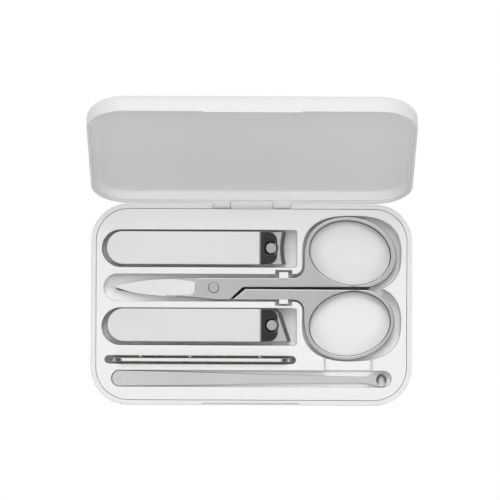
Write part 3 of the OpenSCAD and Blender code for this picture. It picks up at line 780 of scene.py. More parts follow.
@dataclass
class Tray:
    """The moulded tray: a plate with a fitted pocket for each tool."""

    case: Case
    width: float = 116.0
    depth: float = 71.36
    corner: float = 12.21
    lip: float = 0.35
    edge: float = 0.2
    clear: float = 0.1
    clipper_pockets: tuple[float, float] = (20.88, -8.32)
    clipper_left: float = -55.95
    clipper_len: float = 72.9
    clipper_w: float = 14.0
    clipper_corner: float = 1.0
    clipper_floor: float = 2.2
    line_y: float = 6.13
    channel_y: float = 6.23
    channel_x: float = -55.28
    channel_w: float = 10.2
    scissors_floor: float = 4.5
    lobe_x: float = 37.48
    lobe_y: float = 12.7
    lobe_a: float = 18.48
    lobe_b: float = 14.45
    lobe_power: float = 2.6
    lobe_trim: float = 1.6
    fillet: float = 3.0
    foot: float = 0.5
    pick_foot: float = 0.4
    file_foot: float = 0.2
    tab_x: float = 12.05
    tab_slot: float = 6.2
    tab_reach: float = 1.55
    file_x: float = -54.8
    file_y: float = -20.725
    file_len: float = 71.5
    file_w: float = 3.01
    file_floor: float = 2.2
    ribs: tuple[float, ...] = (-41.84, -23.28, 2.84)
    rib_w: float = 0.8
    rib_d: float = 0.9
    rib_sunk: float = 0.18
    rib_r: float = 0.2
    rib_root: float = 0.3
    rib_below: float = 0.4
    pick_x: float = -52.3
    pick_y: float = -27.73
    pick_len: float = 104.8
    pick_w: float = 6.2
    pick_floor: float = 6.4
    recess: tuple[float, float] = (27.0, 45.6)
    recess_ramp: float = 1.1
    recess_depth: float = 2.4
    recess_over: float = 1.2
    hair: float = 0.01

    def lobe(self, side: int) -> Loop:
        """One finger ring's lobe, cut off at the line between the two and at its fillet.

        Args:
            side: 1 for the back lobe, -1 for the front one.

        Returns:
            The open outline, from the line to the fillet.
        """
        y = self.line_y + side * self.lobe_y
        reach = self.channel_w / 2 + self.fillet + self.lobe_trim

        def turn(p: Point) -> float:
            """The point's angle round the lobe's centre, from below on the right.

            Args:
                p: the point.

            Returns:
                Radians.
            """
            out, up = p[0] - self.lobe_x, side * (p[1] - y)
            return math.atan2(up, out) + (2 * math.pi if out <= 0 and up <= 0 else 0.0)

        points = oval(self.lobe_x, y, self.lobe_a, self.lobe_b, self.lobe_power, steps=240)
        keep = [p for p in points if side * (p[1] - self.line_y) > 0
                and not (p[0] < self.lobe_x and side * (p[1] - self.channel_y) < reach)]
        return sorted(keep, key=turn)

    def scissors_loop(self) -> Loop:
        """Outline of the scissors' pocket: channel, finger-ring lobes and tab slots.

        Returns:
            The closed outline, counter-clockwise.
        """
        r, cy = self.channel_w / 2, self.channel_y
        left = self.lobe_x - self.lobe_a - self.fillet
        gap = (self.lobe_y / self.lobe_b) ** self.lobe_power
        cusp = (self.lobe_x + self.lobe_a * (1 - gap) ** (1 / self.lobe_power), self.line_y)
        back = arc(left, cy + r + self.fillet, self.fillet, 0, -90, 8)
        front = arc(left, cy - r - self.fillet, self.fillet, 90, 0, 8)
        a, b = self.tab_x - self.tab_slot / 2, self.tab_x + self.tab_slot / 2
        near, far = cy + r, cy + r + self.tab_reach
        tab_back = [(b, near), (b, far), (a, far), (a, near)]
        near, far = cy - r, cy - r - self.tab_reach
        tab_front = [(a, near), (a, far), (b, far), (b, near)]
        end = arc(self.channel_x + r, cy, r, 90, 270, 28)
        return clean([cusp, *self.lobe(1), *back, *tab_back, *end, *tab_front, *front,
                      *flipped(self.lobe(-1))])

    def bend(self, p: Vector) -> Vector:
        """Sinks the land between the front lobe and the pick's pocket, with soft ramps.

        Args:
            p: a point of the tray.

        Returns:
            The point's new place.
        """
        back = self.line_y - self.lobe_y - self.lobe_b
        front = self.pick_y + self.pick_w / 2
        on_land = front - self.hair < p.y < back + self.recess_over
        if on_land and p.z > self.case.height - self.lip - self.hair:
            a, b = self.recess
            share = max(0.0, min(1.0, min(p.x - a, b - p.x) / self.recess_ramp))
            p.z -= self.recess_depth * share * share * (3 - 2 * share)
        return p

    def build(self) -> None:
        """Builds the tray as one block with its pockets."""
        top = self.case.height
        skin = Skin()
        outer = rounded_box(self.width, self.depth, self.corner)
        low, plate = skin.wall(outer, [(0.0, self.case.floor + self.clear),
                                       *round_edge(self.edge, top, 3)])
        skin.cap(low)
        holes = [plate]
        ramps = [r + d * self.recess_ramp * k / 6 for k in range(-1, 8)
                 for r, d in ((self.recess[0], 1), (self.recess[1], -1))]
        file = slot(self.file_x, self.file_y, self.file_len, self.file_w,
                    self.file_w / 2 - self.hair)
        pick = slot(self.pick_x, self.pick_y, self.pick_len, self.pick_w,
                    self.pick_w / 2 - self.hair)
        pockets = [(slot(self.clipper_left, y, self.clipper_len, self.clipper_w,
                         self.clipper_corner),
                    self.clipper_floor, self.foot) for y in self.clipper_pockets]
        pockets += [(self.scissors_loop(), self.scissors_floor, self.foot),
                    (file, self.file_floor, self.file_foot),
                    (stations(pick, ramps), self.pick_floor, self.pick_foot)]
        for loop, floor, foot in pockets:
            rim = [(-d, z) for d, z in flipped(round_edge(self.lip, top, 4))]
            foot_edge = [(foot - u, floor + foot - v)
                         for u, v in spokes(foot, range(0, 91, 30))]
            first, last = skin.wall(loop, rim + foot_edge)
            skin.cap(last)
            holes.append(first)
        skin.cap(*holes)
        skin.piece("tray_moulding", TRAY_ABS, "case", "tray_plastic", ["tray_insert"],
                   cuts=sorted(ramps), bend=self.bend)
        self.build_ribs()

    def build_ribs(self) -> None:
        """Adds the thin ribs on the back wall of the file's slot."""
        back = self.file_y + self.file_w / 2
        skin = Skin()
        for x in self.ribs:
            rib = rounded_box(self.rib_w, self.rib_d, self.rib_r, x + self.rib_w / 2,
                              back - self.rib_sunk, 4)
            skin.plate(rib, self.file_floor - self.rib_root, self.case.height - self.rib_below)
        skin.piece("file_slot_ribs", TRAY_ABS, "case", "tray_plastic")


@dataclass
class ClipTab:
    """One springy finger with a hooked nose over a scissors shank."""

    side: int
    x: float = 12.05
    width: float = 3.4
    leg_y: float = 5.2
    leg_t: float = 0.8
    nose_y: float = 3.3
    foot: float = 4.5
    nose_z: float = 8.5
    nose_t: float = 1.1
    nose_slope: float = 0.2
    # Radii at the top of the leg, the nose's tip, its hook and its root.
    rounds: tuple[float, float, float, float] = (0.3, 0.35, 0.12, 0.15)
    edge: float = 0.18
    centre_y: float = 6.23

    def build(self) -> None:
        """Builds the finger as a bar along X."""
        top = self.nose_z + self.nose_t
        leg, out = self.leg_y, self.leg_y + self.leg_t
        heel, tip, hook, root = self.rounds
        shape = [(leg, self.foot, 0), (out, self.foot, 0), (out, top, heel),
                 (self.nose_y + self.nose_slope, top, tip), (self.nose_y, self.nose_z, hook),
                 (leg, self.nose_z, root)]
        s, cy = self.side, self.centre_y
        lay = Matrix(((0, 0, 1, 0), (s, 0, 0, cy), (0, 1, 0, 0), (0, 0, 0, 1)))
        skin = Skin(lay)
        skin.plate(rounded(shape), self.x - self.width / 2, self.x + self.width / 2, self.edge)
        side = "back" if s > 0 else "front"
        skin.piece(f"snap_finger_{side}", TRAY_ABS, "case", "tray_plastic",
                   [f"clip_tab_{side}"])


@dataclass
class Lid:
    """The lid's shell, its liner with the magnet housing, and the two knuckles."""

    case: Case
    height: float = 7.5
    gap: float = 0.1
    inset: float = 0.4
    wall: float = 1.25
    top: float = 1.2
    edge_r: float = 3.6
    cut_end: float = 1.37
    rim_r: float = 0.2
    # The bevel inside the rim: how far it runs across and how deep.
    rim_bevel: tuple[float, float] = (0.07, 0.1)
    lip_drop: float = 0.4
    lip_half: float = 17.6
    lip_t: float = 0.6
    lip_r: float = 0.15
    lip_edge: float = 0.12
    lip_root: float = 0.3
    liner_t: float = 0.8
    liner_gap: float = 0.04
    liner_back: float = 1.5
    liner_drop: float = 0.5
    liner_fillet: float = 0.9
    liner_split: float = 16.0
    liner_edge: float = 0.08
    # The rounding inside the liner's edge: its full size, and its middle's distance.
    liner_round: tuple[float, float] = (0.2, 0.06)
    housing_half: float = 13.5
    housing_d: float = 7.4
    housing_h: float = 2.6
    housing_taper: float = 1.6
    housing_front: float = 0.3
    housing_root: float = 0.2
    housing_r: float = 0.8
    housing_edge: float = 0.35
    spacers: tuple[float, ...] = (-0.3, 0.0, 0.3)
    spacer_len: float = 0.7
    spacer_r: float = 0.2
    spacer_in: float = 0.1
    spacer_edge: float = 0.1
    knuckle_r: float = 1.6
    knuckle_x: float = 8.0
    knuckle_len: float = 6.3
    web_t: float = 0.62
    web_out: float = 0.98
    web_foot: float = 0.4
    web_shoulder: float = 2.8
    web_top: float = 3.8
    web_r: float = 0.3

    def shell_section(self, x: float, y: float) -> Profile:
        """The shell's half section, from its outer face over the rim to inside.

        Args:
            x, y: the point of the outline.

        Returns:
            (inset, height) pairs, always as many, drawn closed.
        """
        c = self.case
        crown = flipped(round_edge(self.edge_r, c.height + self.height, 12))
        rim = c.height + self.gap
        roof = (self.wall, c.height + self.height - self.top)
        if y > 0 and abs(x) < c.hinge_half:
            cut = [(v, c.height + u)
                   for u, v in spokes(c.knuckle_clear, (0, 12, 24, 34, 42))]
            return [*crown, *cut, (self.wall, c.height + self.cut_end), roof]
        edge = round_edge(self.rim_r, rim, 3, -1)
        across, deep = self.rim_bevel
        return [*crown, *edge, (self.wall - across, rim), (self.wall, rim + deep), roof]

    def build(self) -> None:
        """Builds the shell with its knuckles, then the liner."""
        c = self.case
        skin = Skin(c.opened())
        outline = rounded_box(c.width - 2 * self.inset, c.depth, c.corner)
        loop = stations(outline, beside([c.hinge_half]))
        skin.close(skin.varied_wall(loop, self.shell_section))
        lip = rounded_box(2 * self.lip_half, self.lip_t, self.lip_r, 0.0,
                          (self.lip_t - c.depth) / 2, 4)
        rim = c.height + self.gap
        skin.plate(lip, rim - self.lip_drop, rim + self.lip_root, self.lip_edge)
        out, top = self.knuckle_r * self.web_out, self.web_top
        for s in (-1, 1):
            middle = s * (self.knuckle_x + self.knuckle_len / 2)
            skin.lay = c.opened() @ c.along_hinge(middle)
            skin.knuckle(self.knuckle_r, self.knuckle_len,
                         [(-self.web_t, self.web_foot, 0), (out, 0.0, 0),
                          (out, self.web_shoulder, self.web_r), (0.0, top, 0),
                          (-self.web_t, top, 0)])
        skin.piece("lid_shell_moulding", SHELL_ABS, "lid", "shell_plastic", ["lid_shell"])
        self.build_liner()

    def build_liner(self) -> None:
        """Builds the liner: turned-up edge, soft inner corner, flat panel and housing."""
        c = self.case
        skin = Skin(c.opened())
        in_by = self.wall + self.liner_gap
        w, d = c.width - 2 * (in_by + self.inset), c.depth - 2 * in_by
        rim = c.height + self.gap + self.liner_drop
        outer = c.height + self.height - self.top - self.liner_back
        t, f = self.liner_t, self.liner_fillet
        panel = outer - t
        e, (r, m) = self.liner_edge, self.liner_round
        profile = [(0.0, outer), (0.0, rim + e), (e, rim), (t - r, rim), (t - m, rim + m),
                   (t, rim + r)]
        profile += [(t + f - u, panel - f + v) for u, v in spokes(f, range(0, 91, 15))]
        loop = stations(rounded_box(w, d, c.corner - in_by),
                        [-self.liner_split, self.liner_split])
        skin.close(skin.wall(loop, profile))
        h, front, back = self.housing_half, self.housing_front - d / 2, self.housing_d - d / 2
        plan = [(-h, front, 0), (h, front, 0), (h - self.housing_taper, back, self.housing_r),
                (self.housing_taper - h, back, self.housing_r)]
        skin.plate(rounded(plan), panel - self.housing_h, panel + self.housing_root,
                   self.housing_edge)
        foot = outer - self.spacer_in
        for share in self.spacers:
            bar = rounded_box(self.spacer_len * w, t, self.spacer_r, 0.0, share * d, 3)
            skin.plate(bar, foot, outer + self.liner_back - self.spacer_in, self.spacer_edge)
        skin.piece("lid_liner_moulding", LINER_ABS, "lid", "tray_plastic", ["lid_liner"])


# ---- the tools ----


@dataclass
class Clipper:
    """A nail clipper: two leaves on a rivet, and the lever on its pin."""

    name: str
    x: float
    y: float
    slant: bool
    floor: float = 2.2
    leaf_w: float = 12.3
    leaf_t: float = 1.1
    leaf_gap: float = 0.1
    leaf_edge: float = 0.12
    rise: float = 1.3
    rise_from: float = 2.0
    rise_to: float = 8.0
    rivet_x: float = -52.0
    rivet_hole: float = 1.3
    tail: float = 5.0
    reach: float = 5.65
    hollow: float = 0.8
    curved_back: float = 4.0
    curved_tip_r: float = 0.3
    slant_near: float = 3.65
    slant_far: float = 7.35
    slant_r: float = 1.6
    slant_tip_r: float = 0.35
    # The heel's distance back from the slanted edge and its radius, then how far back the
    # nose is drawn on each side.
    slant_heel: tuple[float, float] = (1.9, 1.2)
    slant_back: tuple[float, float] = (6.0, 7.0)
    hole_r: float = 1.9
    bevel: float = 1.5
    bevel_lean: float = 0.25
    bevel_from: float = 1.0
    # Where the bevel starts: how far back from the cutting edge, and how high.
    cutting_edge: tuple[float, float] = (0.05, 0.16)
    lower_hole: float = 1.8
    upper_hole: float = 2.65
    lever_w: float = 12.5
    lever_t: float = 1.0
    lever_run: float = 61.6
    lever_drop: float = 2.1
    lever_edge: float = 0.25
    # The lever's window: how far it runs forwards and back from the pin, and half its width.
    window: tuple[float, float, float] = (1.45, 2.55, 2.45)
    window_r: float = 0.7
    window_edge: float = 0.22
    slope_end: float = 1.9
    slope_len: float = 6.15
    fold: float = 0.9
    nose_r: float = 3.6
    end_x: float = 2.35
    head_r: float = 2.0
    pin_r: float = 1.5
    waist_r: float = 1.0
    bar_over: float = 0.95

    @property
    def front_z(self) -> float:
        """Underside of the upper leaf at the jaw."""
        return self.floor + self.leaf_t + self.leaf_gap + self.rise

    @property
    def bar_z(self) -> float:
        """Height of the lever's bar."""
        return self.front_z + self.leaf_t + self.bar_over

    @property
    def lever_z(self) -> float:
        """Underside of the lever's flat run."""
        return self.bar_z + self.lever_drop - self.lever_t / 2

    def leaf_loop(self, shift: float, edge: float) -> Loop:
        """Plan of a leaf with its cutting edge moved back.

        Args:
            shift: how far the cutting edge is moved back.
            edge: how far the other sides are moved in.

        Returns:
            The closed outline, always with as many points.
        """
        half = self.leaf_w / 2 - edge
        if self.slant:
            near, far = self.slant_near - shift, self.slant_far - shift
            (heel, heel_r), (below, above) = self.slant_heel, self.slant_back
            nose = rounded([(far - below, -half, 0), (far, -half, self.slant_tip_r),
                            (near, half - self.slant_r + edge, self.slant_r),
                            (near - heel, half, heel_r), (near - above, half, 0)], 8)
        else:
            r = ((self.leaf_w / 2) ** 2 + self.hollow ** 2) / (2 * self.hollow)
            cx = self.reach - self.hollow + r
            ys = [-half * (1 - k / 7) for k in range(1, 14)]
            bow = [(cx - math.sqrt(r * r - y * y) - shift, y, 0.0) for y in ys]
            front, tip_r = self.reach - shift, self.curved_tip_r
            root = front - self.curved_back
            nose = rounded([(root, -half, 0), (front, -half, tip_r), *bow,
                            (front, half, tip_r), (root, half, 0)], 5)
        back = self.rivet_x - self.tail + self.leaf_w / 2
        return nose + arc(back, 0, half, 90, 270, 28)

    def leaf(self, z0: float, upper: bool) -> Skin:
        """Adds one leaf, its cutting edge ground to a bevel.

        Args:
            z0: the leaf's lower face.
            upper: True for the upper leaf, with the bevel on top.

        Returns:
            The skin that holds it.
        """
        skin = Skin(Matrix.Translation((self.x, self.y, 0)))
        t, b, e = self.leaf_t, self.bevel, self.leaf_edge
        back, land = self.cutting_edge
        # For each ring: how far back its cutting edge lies, how far in its sides, its height.
        rings = [(b * 0.02, e, 0.0), (0.0, 0.0, e), (back, 0.0, land), (b * 0.94, 0.0, t - e),
                 (b * 0.98, e * 0.3, t - e * 0.3), (b, e, t)]
        made = [skin.ring(self.leaf_loop(shift, edge), z0 + h if upper else z0 + t - h)
                for shift, edge, h in rings]
        skin.stack(made)
        near, far, ease = (z0, z0 + t, SUPPORT) if upper else (z0 + t, z0, -SUPPORT)
        side = [(-SUPPORT, near), (0.0, near + ease), (0.0, far - ease), (-SUPPORT, far)]
        pin_hole = self.upper_hole if upper else self.lower_hole
        holes = [skin.wall(circle(x, 0, r), side)
                 for x, r in ((0.0, pin_hole), (self.rivet_x, self.rivet_hole))]
        skin.close((made[0], made[-1]), *holes)
        return skin

    def paint_lower(self, centre: Vector, normal: Vector) -> Finish:
        """Gives a face of the lower leaf its finish.

        Args:
            centre, normal: the face's own.

        Returns:
            Painted shade on the inner face, honed steel with painted shade on the bevel, else
            brushed steel.
        """
        # The inner face shows only round the pin: painted dark as shade so that ring reads black.
        if normal.z > FLAT:
            return PAINTED_SHADE_STEEL
        leaning = abs(normal.z) > self.bevel_lean and normal.z > -FLAT
        at_jaw = centre.x > self.x + self.bevel_from
        return HONED_AND_SHADED_STEEL if leaning and at_jaw else BRUSHED_STEEL

    def paint_upper(self, centre: Vector, normal: Vector) -> Finish:
        """The upper leaf's finishes, which mirror the lower leaf's."""
        return self.paint_lower(centre, -normal)

    def build(self) -> None:
        """Builds the two leaves, the lever, the pin and the rivet."""
        start, end = self.x + self.rivet_x + self.rise_from, self.x - self.rise_to

        def raise_jaw(p: Vector) -> Vector:
            """Lifts the upper leaf, more and more from the rivet to the jaw."""
            p.z += self.rise * max(0.0, min(1.0, (p.x - start) / (end - start)))
            return p

        more = [HONED_AND_SHADED_STEEL, PAINTED_SHADE_STEEL]
        self.leaf(self.floor, False).piece(
            f"{self.name}_lower_leaf", BRUSHED_STEEL, self.name, "brushed_steel",
            [f"{self.name}_lower_jaw"], paint=self.paint_lower, more=more)
        self.leaf(self.floor + self.leaf_t + self.leaf_gap, True).piece(
            f"{self.name}_upper_leaf", BRUSHED_STEEL, f"{self.name}_jaw", "brushed_steel",
            [f"{self.name}_upper_jaw"], cuts=[start, end], bend=raise_jaw,
            paint=self.paint_upper, more=more)
        self.build_lever()
        self.build_pins()

    def build_lever(self) -> None:
        """Builds the lever flat, then bends its front down to the pin."""
        half, end = self.lever_w / 2, self.end_x
        left = half - self.lever_run
        loop = (arc(end - self.nose_r, -half + self.nose_r, self.nose_r, -90, 0, 12)
                + arc(end - self.nose_r, half - self.nose_r, self.nose_r, 0, 90, 12)
                + arc(left, 0, half, 90, 270, 40))
        front, back, side = self.window
        hole = rounded([(front, -side, self.window_r), (front, side, self.window_r),
                        (-back, side, self.hole_r), (-back, -side, self.hole_r)], 8)
        skin = Skin(Matrix.Translation((self.x, self.y, 0)))
        skin.plate(loop, self.lever_z, self.lever_z + self.lever_t, self.lever_edge, [hole],
                   self.window_edge)
        flat_end = self.x + self.slope_end - self.slope_len
        slope = self.lever_drop / self.slope_len
        soft = self.fold

        def drop(p: Vector) -> Vector:
            """Lets the lever drop in front of the fold, with a short soft bend.

            Args:
                p: a point of the flat lever.

            Returns:
                The point's new place.
            """
            run = p.x - flat_end
            if run > -soft:
                p.z -= slope * (run if run > soft else (run + soft) ** 2 / (4 * soft))
            return p

        skin.piece(f"{self.name}_lever_plate", LEVER_STEEL, f"{self.name}_lever",
                   "satin_steel", [f"{self.name}_lever"],
                   cuts=[flat_end + soft * k / 5 for k in range(-5, 6)], bend=drop)

    def build_pins(self) -> None:
        """Turns the waisted pin and the rear rivet."""
        turned = replace(TURNED_STEEL, name=f"stainless_turned_{self.name}",
                         centre=(self.x, self.y))
        f, r, waist, bar, head = self.floor, self.pin_r, self.waist_r, self.bar_z, self.head_r
        neck = bar + 0.8
        skin = Skin()
        # A flange below the leaf, the shaft, the waist that the lever grips, a domed head.
        skin.turned([(2.0, f), (2.15, f + 0.1), (2.15, f + 0.4), (r, f + 0.45), (r, bar - 0.85),
                     (waist, bar - 0.75), (waist, neck - 0.02), (head - 0.08, neck),
                     (head, neck + 0.08), (head, neck + 0.82), (head - 0.04, neck + 0.93),
                     (head - 0.12, neck + 0.99), (head - 0.2, neck + 1.0)], self.x, self.y, 64)
        skin.piece(f"{self.name}_waisted_pin", turned, self.name, "pin_steel",
                   [f"{self.name}_pin"])
        top = f + 2 * self.leaf_t + self.leaf_gap
        skin = Skin()
        # A flange below, the shaft through both leaves and a low dome above.
        skin.turned([(2.0, f), (2.1, f + 0.1), (2.1, f + 0.3), (1.2, f + 0.35),
                     (1.2, top + 0.1), (2.0, top + 0.12), (1.95, top + 0.35),
                     (1.6, top + 0.6), (1.0, top + 0.7)], self.x + self.rivet_x, self.y)
        skin.piece(f"{self.name}_rear_rivet", TURNED_STEEL, self.name, "pin_steel",
                   [f"{self.name}_rivet"])


@dataclass
class Scissors:
    """The scissors: two halves that cross at the pivot, each with its finger ring."""

    x: float = -14.175
    line_y: float = 6.13
    pivot_y: float = 6.28
    blade_z: float = 4.5
    blade_t: float = 1.9
    blade_gap: float = 0.1
    ring_z: float = 5.2
    ring_t: float = 3.2
    blade_len: float = 37.5
    shank_len: float = 51.3
    # Both edges as shares of the blade's length and of the body's reach.
    back_edge: tuple[Point, ...] = (
        (1.0, 0.1), (0.95, 0.26), (0.8, 0.55), (0.63, 0.77), (0.4, 0.88), (0.2, 0.95))
    cutting_edge: tuple[Point, ...] = (
        (0.23, 0.82), (0.4, 0.79), (0.53, 0.73), (0.73, 0.56), (0.88, 0.27))
    up: float = 3.9
    down: float = 4.3
    heel: float = 0.5
    gap: float = 0.6
    ring_a: float = 17.2
    ring_b: float = 13.5
    ring_lean: float = 11.0
    ring_y: float = 13.25
    half_x: float = 17.08
    band: float = 2.1
    side_band: float = 0.4
    hole_shift: float = 0.25
    fillet: float = 4.0
    step_from: float = 6.2
    step_to: float = 11.1
    step_gap: float = 0.85
    step_over: float = 1.0
    # How far before and after the step its slanting faces are painted dark, as shade.
    step_reach: tuple[float, float] = (1.2, 1.1)
    edge: float = 0.24
    shoulder: float = 0.4
    hole_edge: float = 0.52
    sharp: float = 0.02
    foot_edge: float = 0.1
    blade_top: float = 0.12
    under: float = 0.6
    under_edge: float = 0.3
    under_lap: float = 0.1
    mating_t: float = 0.6
    mating_edge: float = 0.25
    lower_in: float = 0.4
    lower_short: float = 0.8
    ring_short: float = 0.35
    pin_hole: float = 1.3
    rivet_r: float = 2.1
    ground_to: float = -7.0
    ground: float = 0.22
    ground_over: tuple[float, float] = (0.5, 0.1)
    # The thin tongue along the cutting edge: its ends, and its upper side as distances
    # from the end of the ground face and from the edge.
    tongue: tuple[float, float] = (-19.5, 0.6)
    tongue_rise: tuple[Point, ...] = ((-8.0, 0.45), (-5.0, 0.8), (-2.0, 0.95), (-0.5, 1.6))
    tongue_low: float = 0.8
    tongue_end: float = 0.3
    # Painted shade between the halves: how far past the step it starts, and half its width about
    # the line.
    painted_shade_from: float = 0.4
    painted_shade_half: float = 0.5
    seam: float = 0.05
    level: float = 0.9
    upright: float = 0.3
    oblique: float = 0.4
    # A rounding's range of normal Z, and the normal Z above which it takes a painted highlight
    # instead of painted shade.
    rounding: tuple[float, float] = (0.02, 0.997)
    painted_highlight_from: float = 0.78

    def blade_edge(self, length: float, up: float, down: float) -> tuple[Loop, Loop]:
        """The two long edges of a blade.

        Args:
            length: from the pivot to the tip.
            up, down: reach of the body above and below the line.

        Returns:
            The back edge from tip to body and the cutting edge from body to tip.
        """
        back = [*((-u * length, v * up) for u, v in self.back_edge), (0.0, up)]
        cutting = [(self.heel, -down), *((-u * length, -v * down) for u, v in self.cutting_edge)]
        return smooth(back), smooth([*cutting, back[0]])[:-1]

    def body_loop(self, side: float, less: float) -> Loop:
        """Plan of the body, shank and ring of one half, drawn on the +Y side.

        Args:
            side: the body's reach on the ring's side.
            less: how much shorter the ring is.

        Returns:
            The outline from the body's left end, counter-clockwise.
        """
        half_gap = self.gap / 2
        left = self.shank_len - self.half_x - 0.35
        ring = oval(self.shank_len - less, self.ring_y, self.ring_a - less, self.ring_b, 2.0,
                    -self.ring_lean, 180)
        start = min(range(len(ring)), key=lambda i: abs(ring[i][1] - half_gap)
                    + (100 if ring[i][0] < self.shank_len else 0))
        turned = ring[start:] + ring[:start]
        over = [p for p in turned if p[1] > half_gap + 0.02
                and not (p[0] < self.shank_len - 4 and p[1] < self.ring_y + 4.5)]
        corner = arc(left - self.fillet, side + self.fillet, self.fillet, 0, -90, 10)
        flank = [(left + 0.25, self.ring_y + 1.5), (left, self.ring_y - 1)]
        return over + flank + corner

    def half(self, top: bool) -> None:
        """Builds one half: ground blade, body with shank and ring.

        Args:
            top: True for the half whose blade lies on top.
        """
        s = 1 if top else -1
        up, down = (self.up, self.down) if top else (self.down - self.lower_in,
                                                     self.up - self.lower_in)
        side = self.up if top else self.down
        length = self.blade_len - (0 if top else self.lower_short)
        lay = Matrix.Translation((self.x, self.line_y, 0)) @ Matrix.Diagonal((1, s, 1, 1))
        skin = Skin(lay)
        half_gap = self.gap / 2
        shank = self.body_loop(side, 0.0 if top else self.ring_short)
        hole = oval(self.shank_len - self.hole_shift, self.ring_y, self.ring_a - self.band,
                    self.ring_b - self.band + self.side_band, 2.0, -self.ring_lean, 180)
        z0, z1 = self.ring_z, self.ring_z + self.ring_t
        start = self.step_from + self.step_gap
        knee = self.step_to + self.step_gap
        handle = [(knee, half_gap), *shank, (start, side)]
        under = [(knee, self.seam), (shank[0][0], self.seam), *shank, (start, side)]
        back, cutting = self.blade_edge(length, up, down)
        body_z = self.blade_z + (self.blade_t + self.blade_gap if top else 0)
        pin = circle(0, s * (self.pivot_y - self.line_y), self.pin_hole)
        ground_z = body_z + self.blade_t
        step = [(self.step_from, -down), (self.step_to, half_gap)]
        blade = [*flipped(back), *flipped(cutting), *step,
                 (self.step_to + self.step_over, half_gap), (self.step_to + self.step_over, up)]
        skin.plate(wound(clean(blade)), body_z, ground_z - self.ground, self.foot_edge, [pin],
                   self.blade_top)
        skin.plate(wound(clean(under)), z0, z1 - self.under, self.under_edge,
                   [grown(hole, self.seam)], self.sharp)
        body = self.body_top(up, down) + step
        if top:
            upper, low, holes = body + shank, body_z + self.sharp, [pin, hole]
        else:
            upper, low, holes = handle, z1 - self.under - self.under_lap, [hole]
        skin.plate(wound(clean(upper)), low, z1, self.sharp, holes, self.edge, self.shoulder,
                   self.hole_edge)
        if not top:
            skin.plate(wound(clean([*body, (self.step_to, up)])), ground_z - self.mating_t,
                       ground_z, self.foot_edge, [pin], self.mating_edge)

        def paint(centre: Vector, normal: Vector) -> Finish:
            """Gives a face of this half its finish.

            Args:
                centre, normal: the face's own.

            Returns:
                Painted shade where the halves meet and on a rounding's steep part, a painted
                highlight on its flatter part, ground steel on the blade, else brushed steel.
            """
            along = centre.x - self.x
            by_line = abs(centre.y - self.line_y) < self.painted_shade_half
            between = by_line and abs(normal.z) < self.upright
            slanting = min(abs(normal.x), abs(normal.y)) > self.oblique
            before, after = self.step_reach
            in_step = self.step_from - before < along < self.step_to + after
            # Painted shade in the slit between the halves and on the step's slanting faces.
            if (between and along > self.step_to + self.painted_shade_from) or (slanting and in_step):
                return PAINTED_SHADE_STEEL
            # Painted shade on faces that show only through the gaps: the lower half's mating face
            # and the under plate's top.
            mating = centre.z < self.blade_z + self.blade_t + self.blade_gap and not top
            on_under = abs(centre.z - z1 + self.under) < self.seam
            if normal.z > self.level and (mating or on_under):
                return PAINTED_SHADE_STEEL
            # Roundings: painted shade on their steep part, a painted highlight on their flatter
            # part.
            upright, flat = self.rounding
            if upright < normal.z < flat and centre.z > z1 - self.hole_edge:
                return BARE_EDGE_AND_HIGHLIGHT_STEEL if normal.z > self.painted_highlight_from else PAINTED_SHADE_STEEL
            past, below = self.ground_over
            on_blade = along < self.ground_to + past and centre.z < ground_z - below
            ground = top and on_blade and normal.z > self.level
            return GROUND_STEEL if ground else BRUSHED_STEEL

        name = "top" if top else "bottom"
        skin.piece(f"scissors_{name}_blade_and_ring", BRUSHED_STEEL,
                   "scissors_top" if top else "scissors", "brushed_steel",
                   [f"scissors_{name}_half"], paint=paint,
                   more=[GROUND_STEEL, PAINTED_SHADE_STEEL, BARE_EDGE_AND_HIGHLIGHT_STEEL])

    def body_top(self, up: float, down: float) -> Loop:
        """Plan of the unground part, from its top edge round its left end to the step.

        Args:
            up, down: reach of the body above and below the line.

        Returns:
            The open outline; a thin tongue runs out along the cutting edge.
        """
        g = self.ground_to
        _, cutting = self.blade_edge(self.blade_len, up, down)
        start, end = self.tongue
        tongue = [p for p in cutting if start < p[0] < end]
        low = -self.tongue_low * down
        rise = [*((g + x, low + h) for x, h in self.tongue_rise), (g, -self.tongue_end * down)]
        share, height = self.back_edge[-1]
        run = share * self.blade_len
        near = height * up + (1 - height) * up * (g + run) / run
        return [(0.0, up), (g, near), *flipped(smooth(rise)), *flipped(tongue)]

    def build(self) -> None:
        """Builds both halves and the pivot rivet."""
        self.half(True)
        self.half(False)
        z = self.blade_z
        top = z + 2 * self.blade_t + self.blade_gap
        r = self.rivet_r
        skin = Skin()
        skin.turned([(r - 0.1, z), (r, z + 0.1), (r, z + 0.45), (1.25, z + 0.5), (1.25, top - 0.1),
                     (r, top + 0.03), (r, top + 0.16), (r - 0.08, top + 0.26),
                     (r - 0.25, top + 0.33)], self.x, self.pivot_y, 64)
        finish = replace(TURNED_STEEL, name="stainless_turned_pivot", colour="#bcbcbb",
                         roughness=0.3, centre=(self.x, self.pivot_y))
        skin.piece("scissors_pivot_rivet", finish, "scissors", "pin_steel", ["scissors_rivet"])


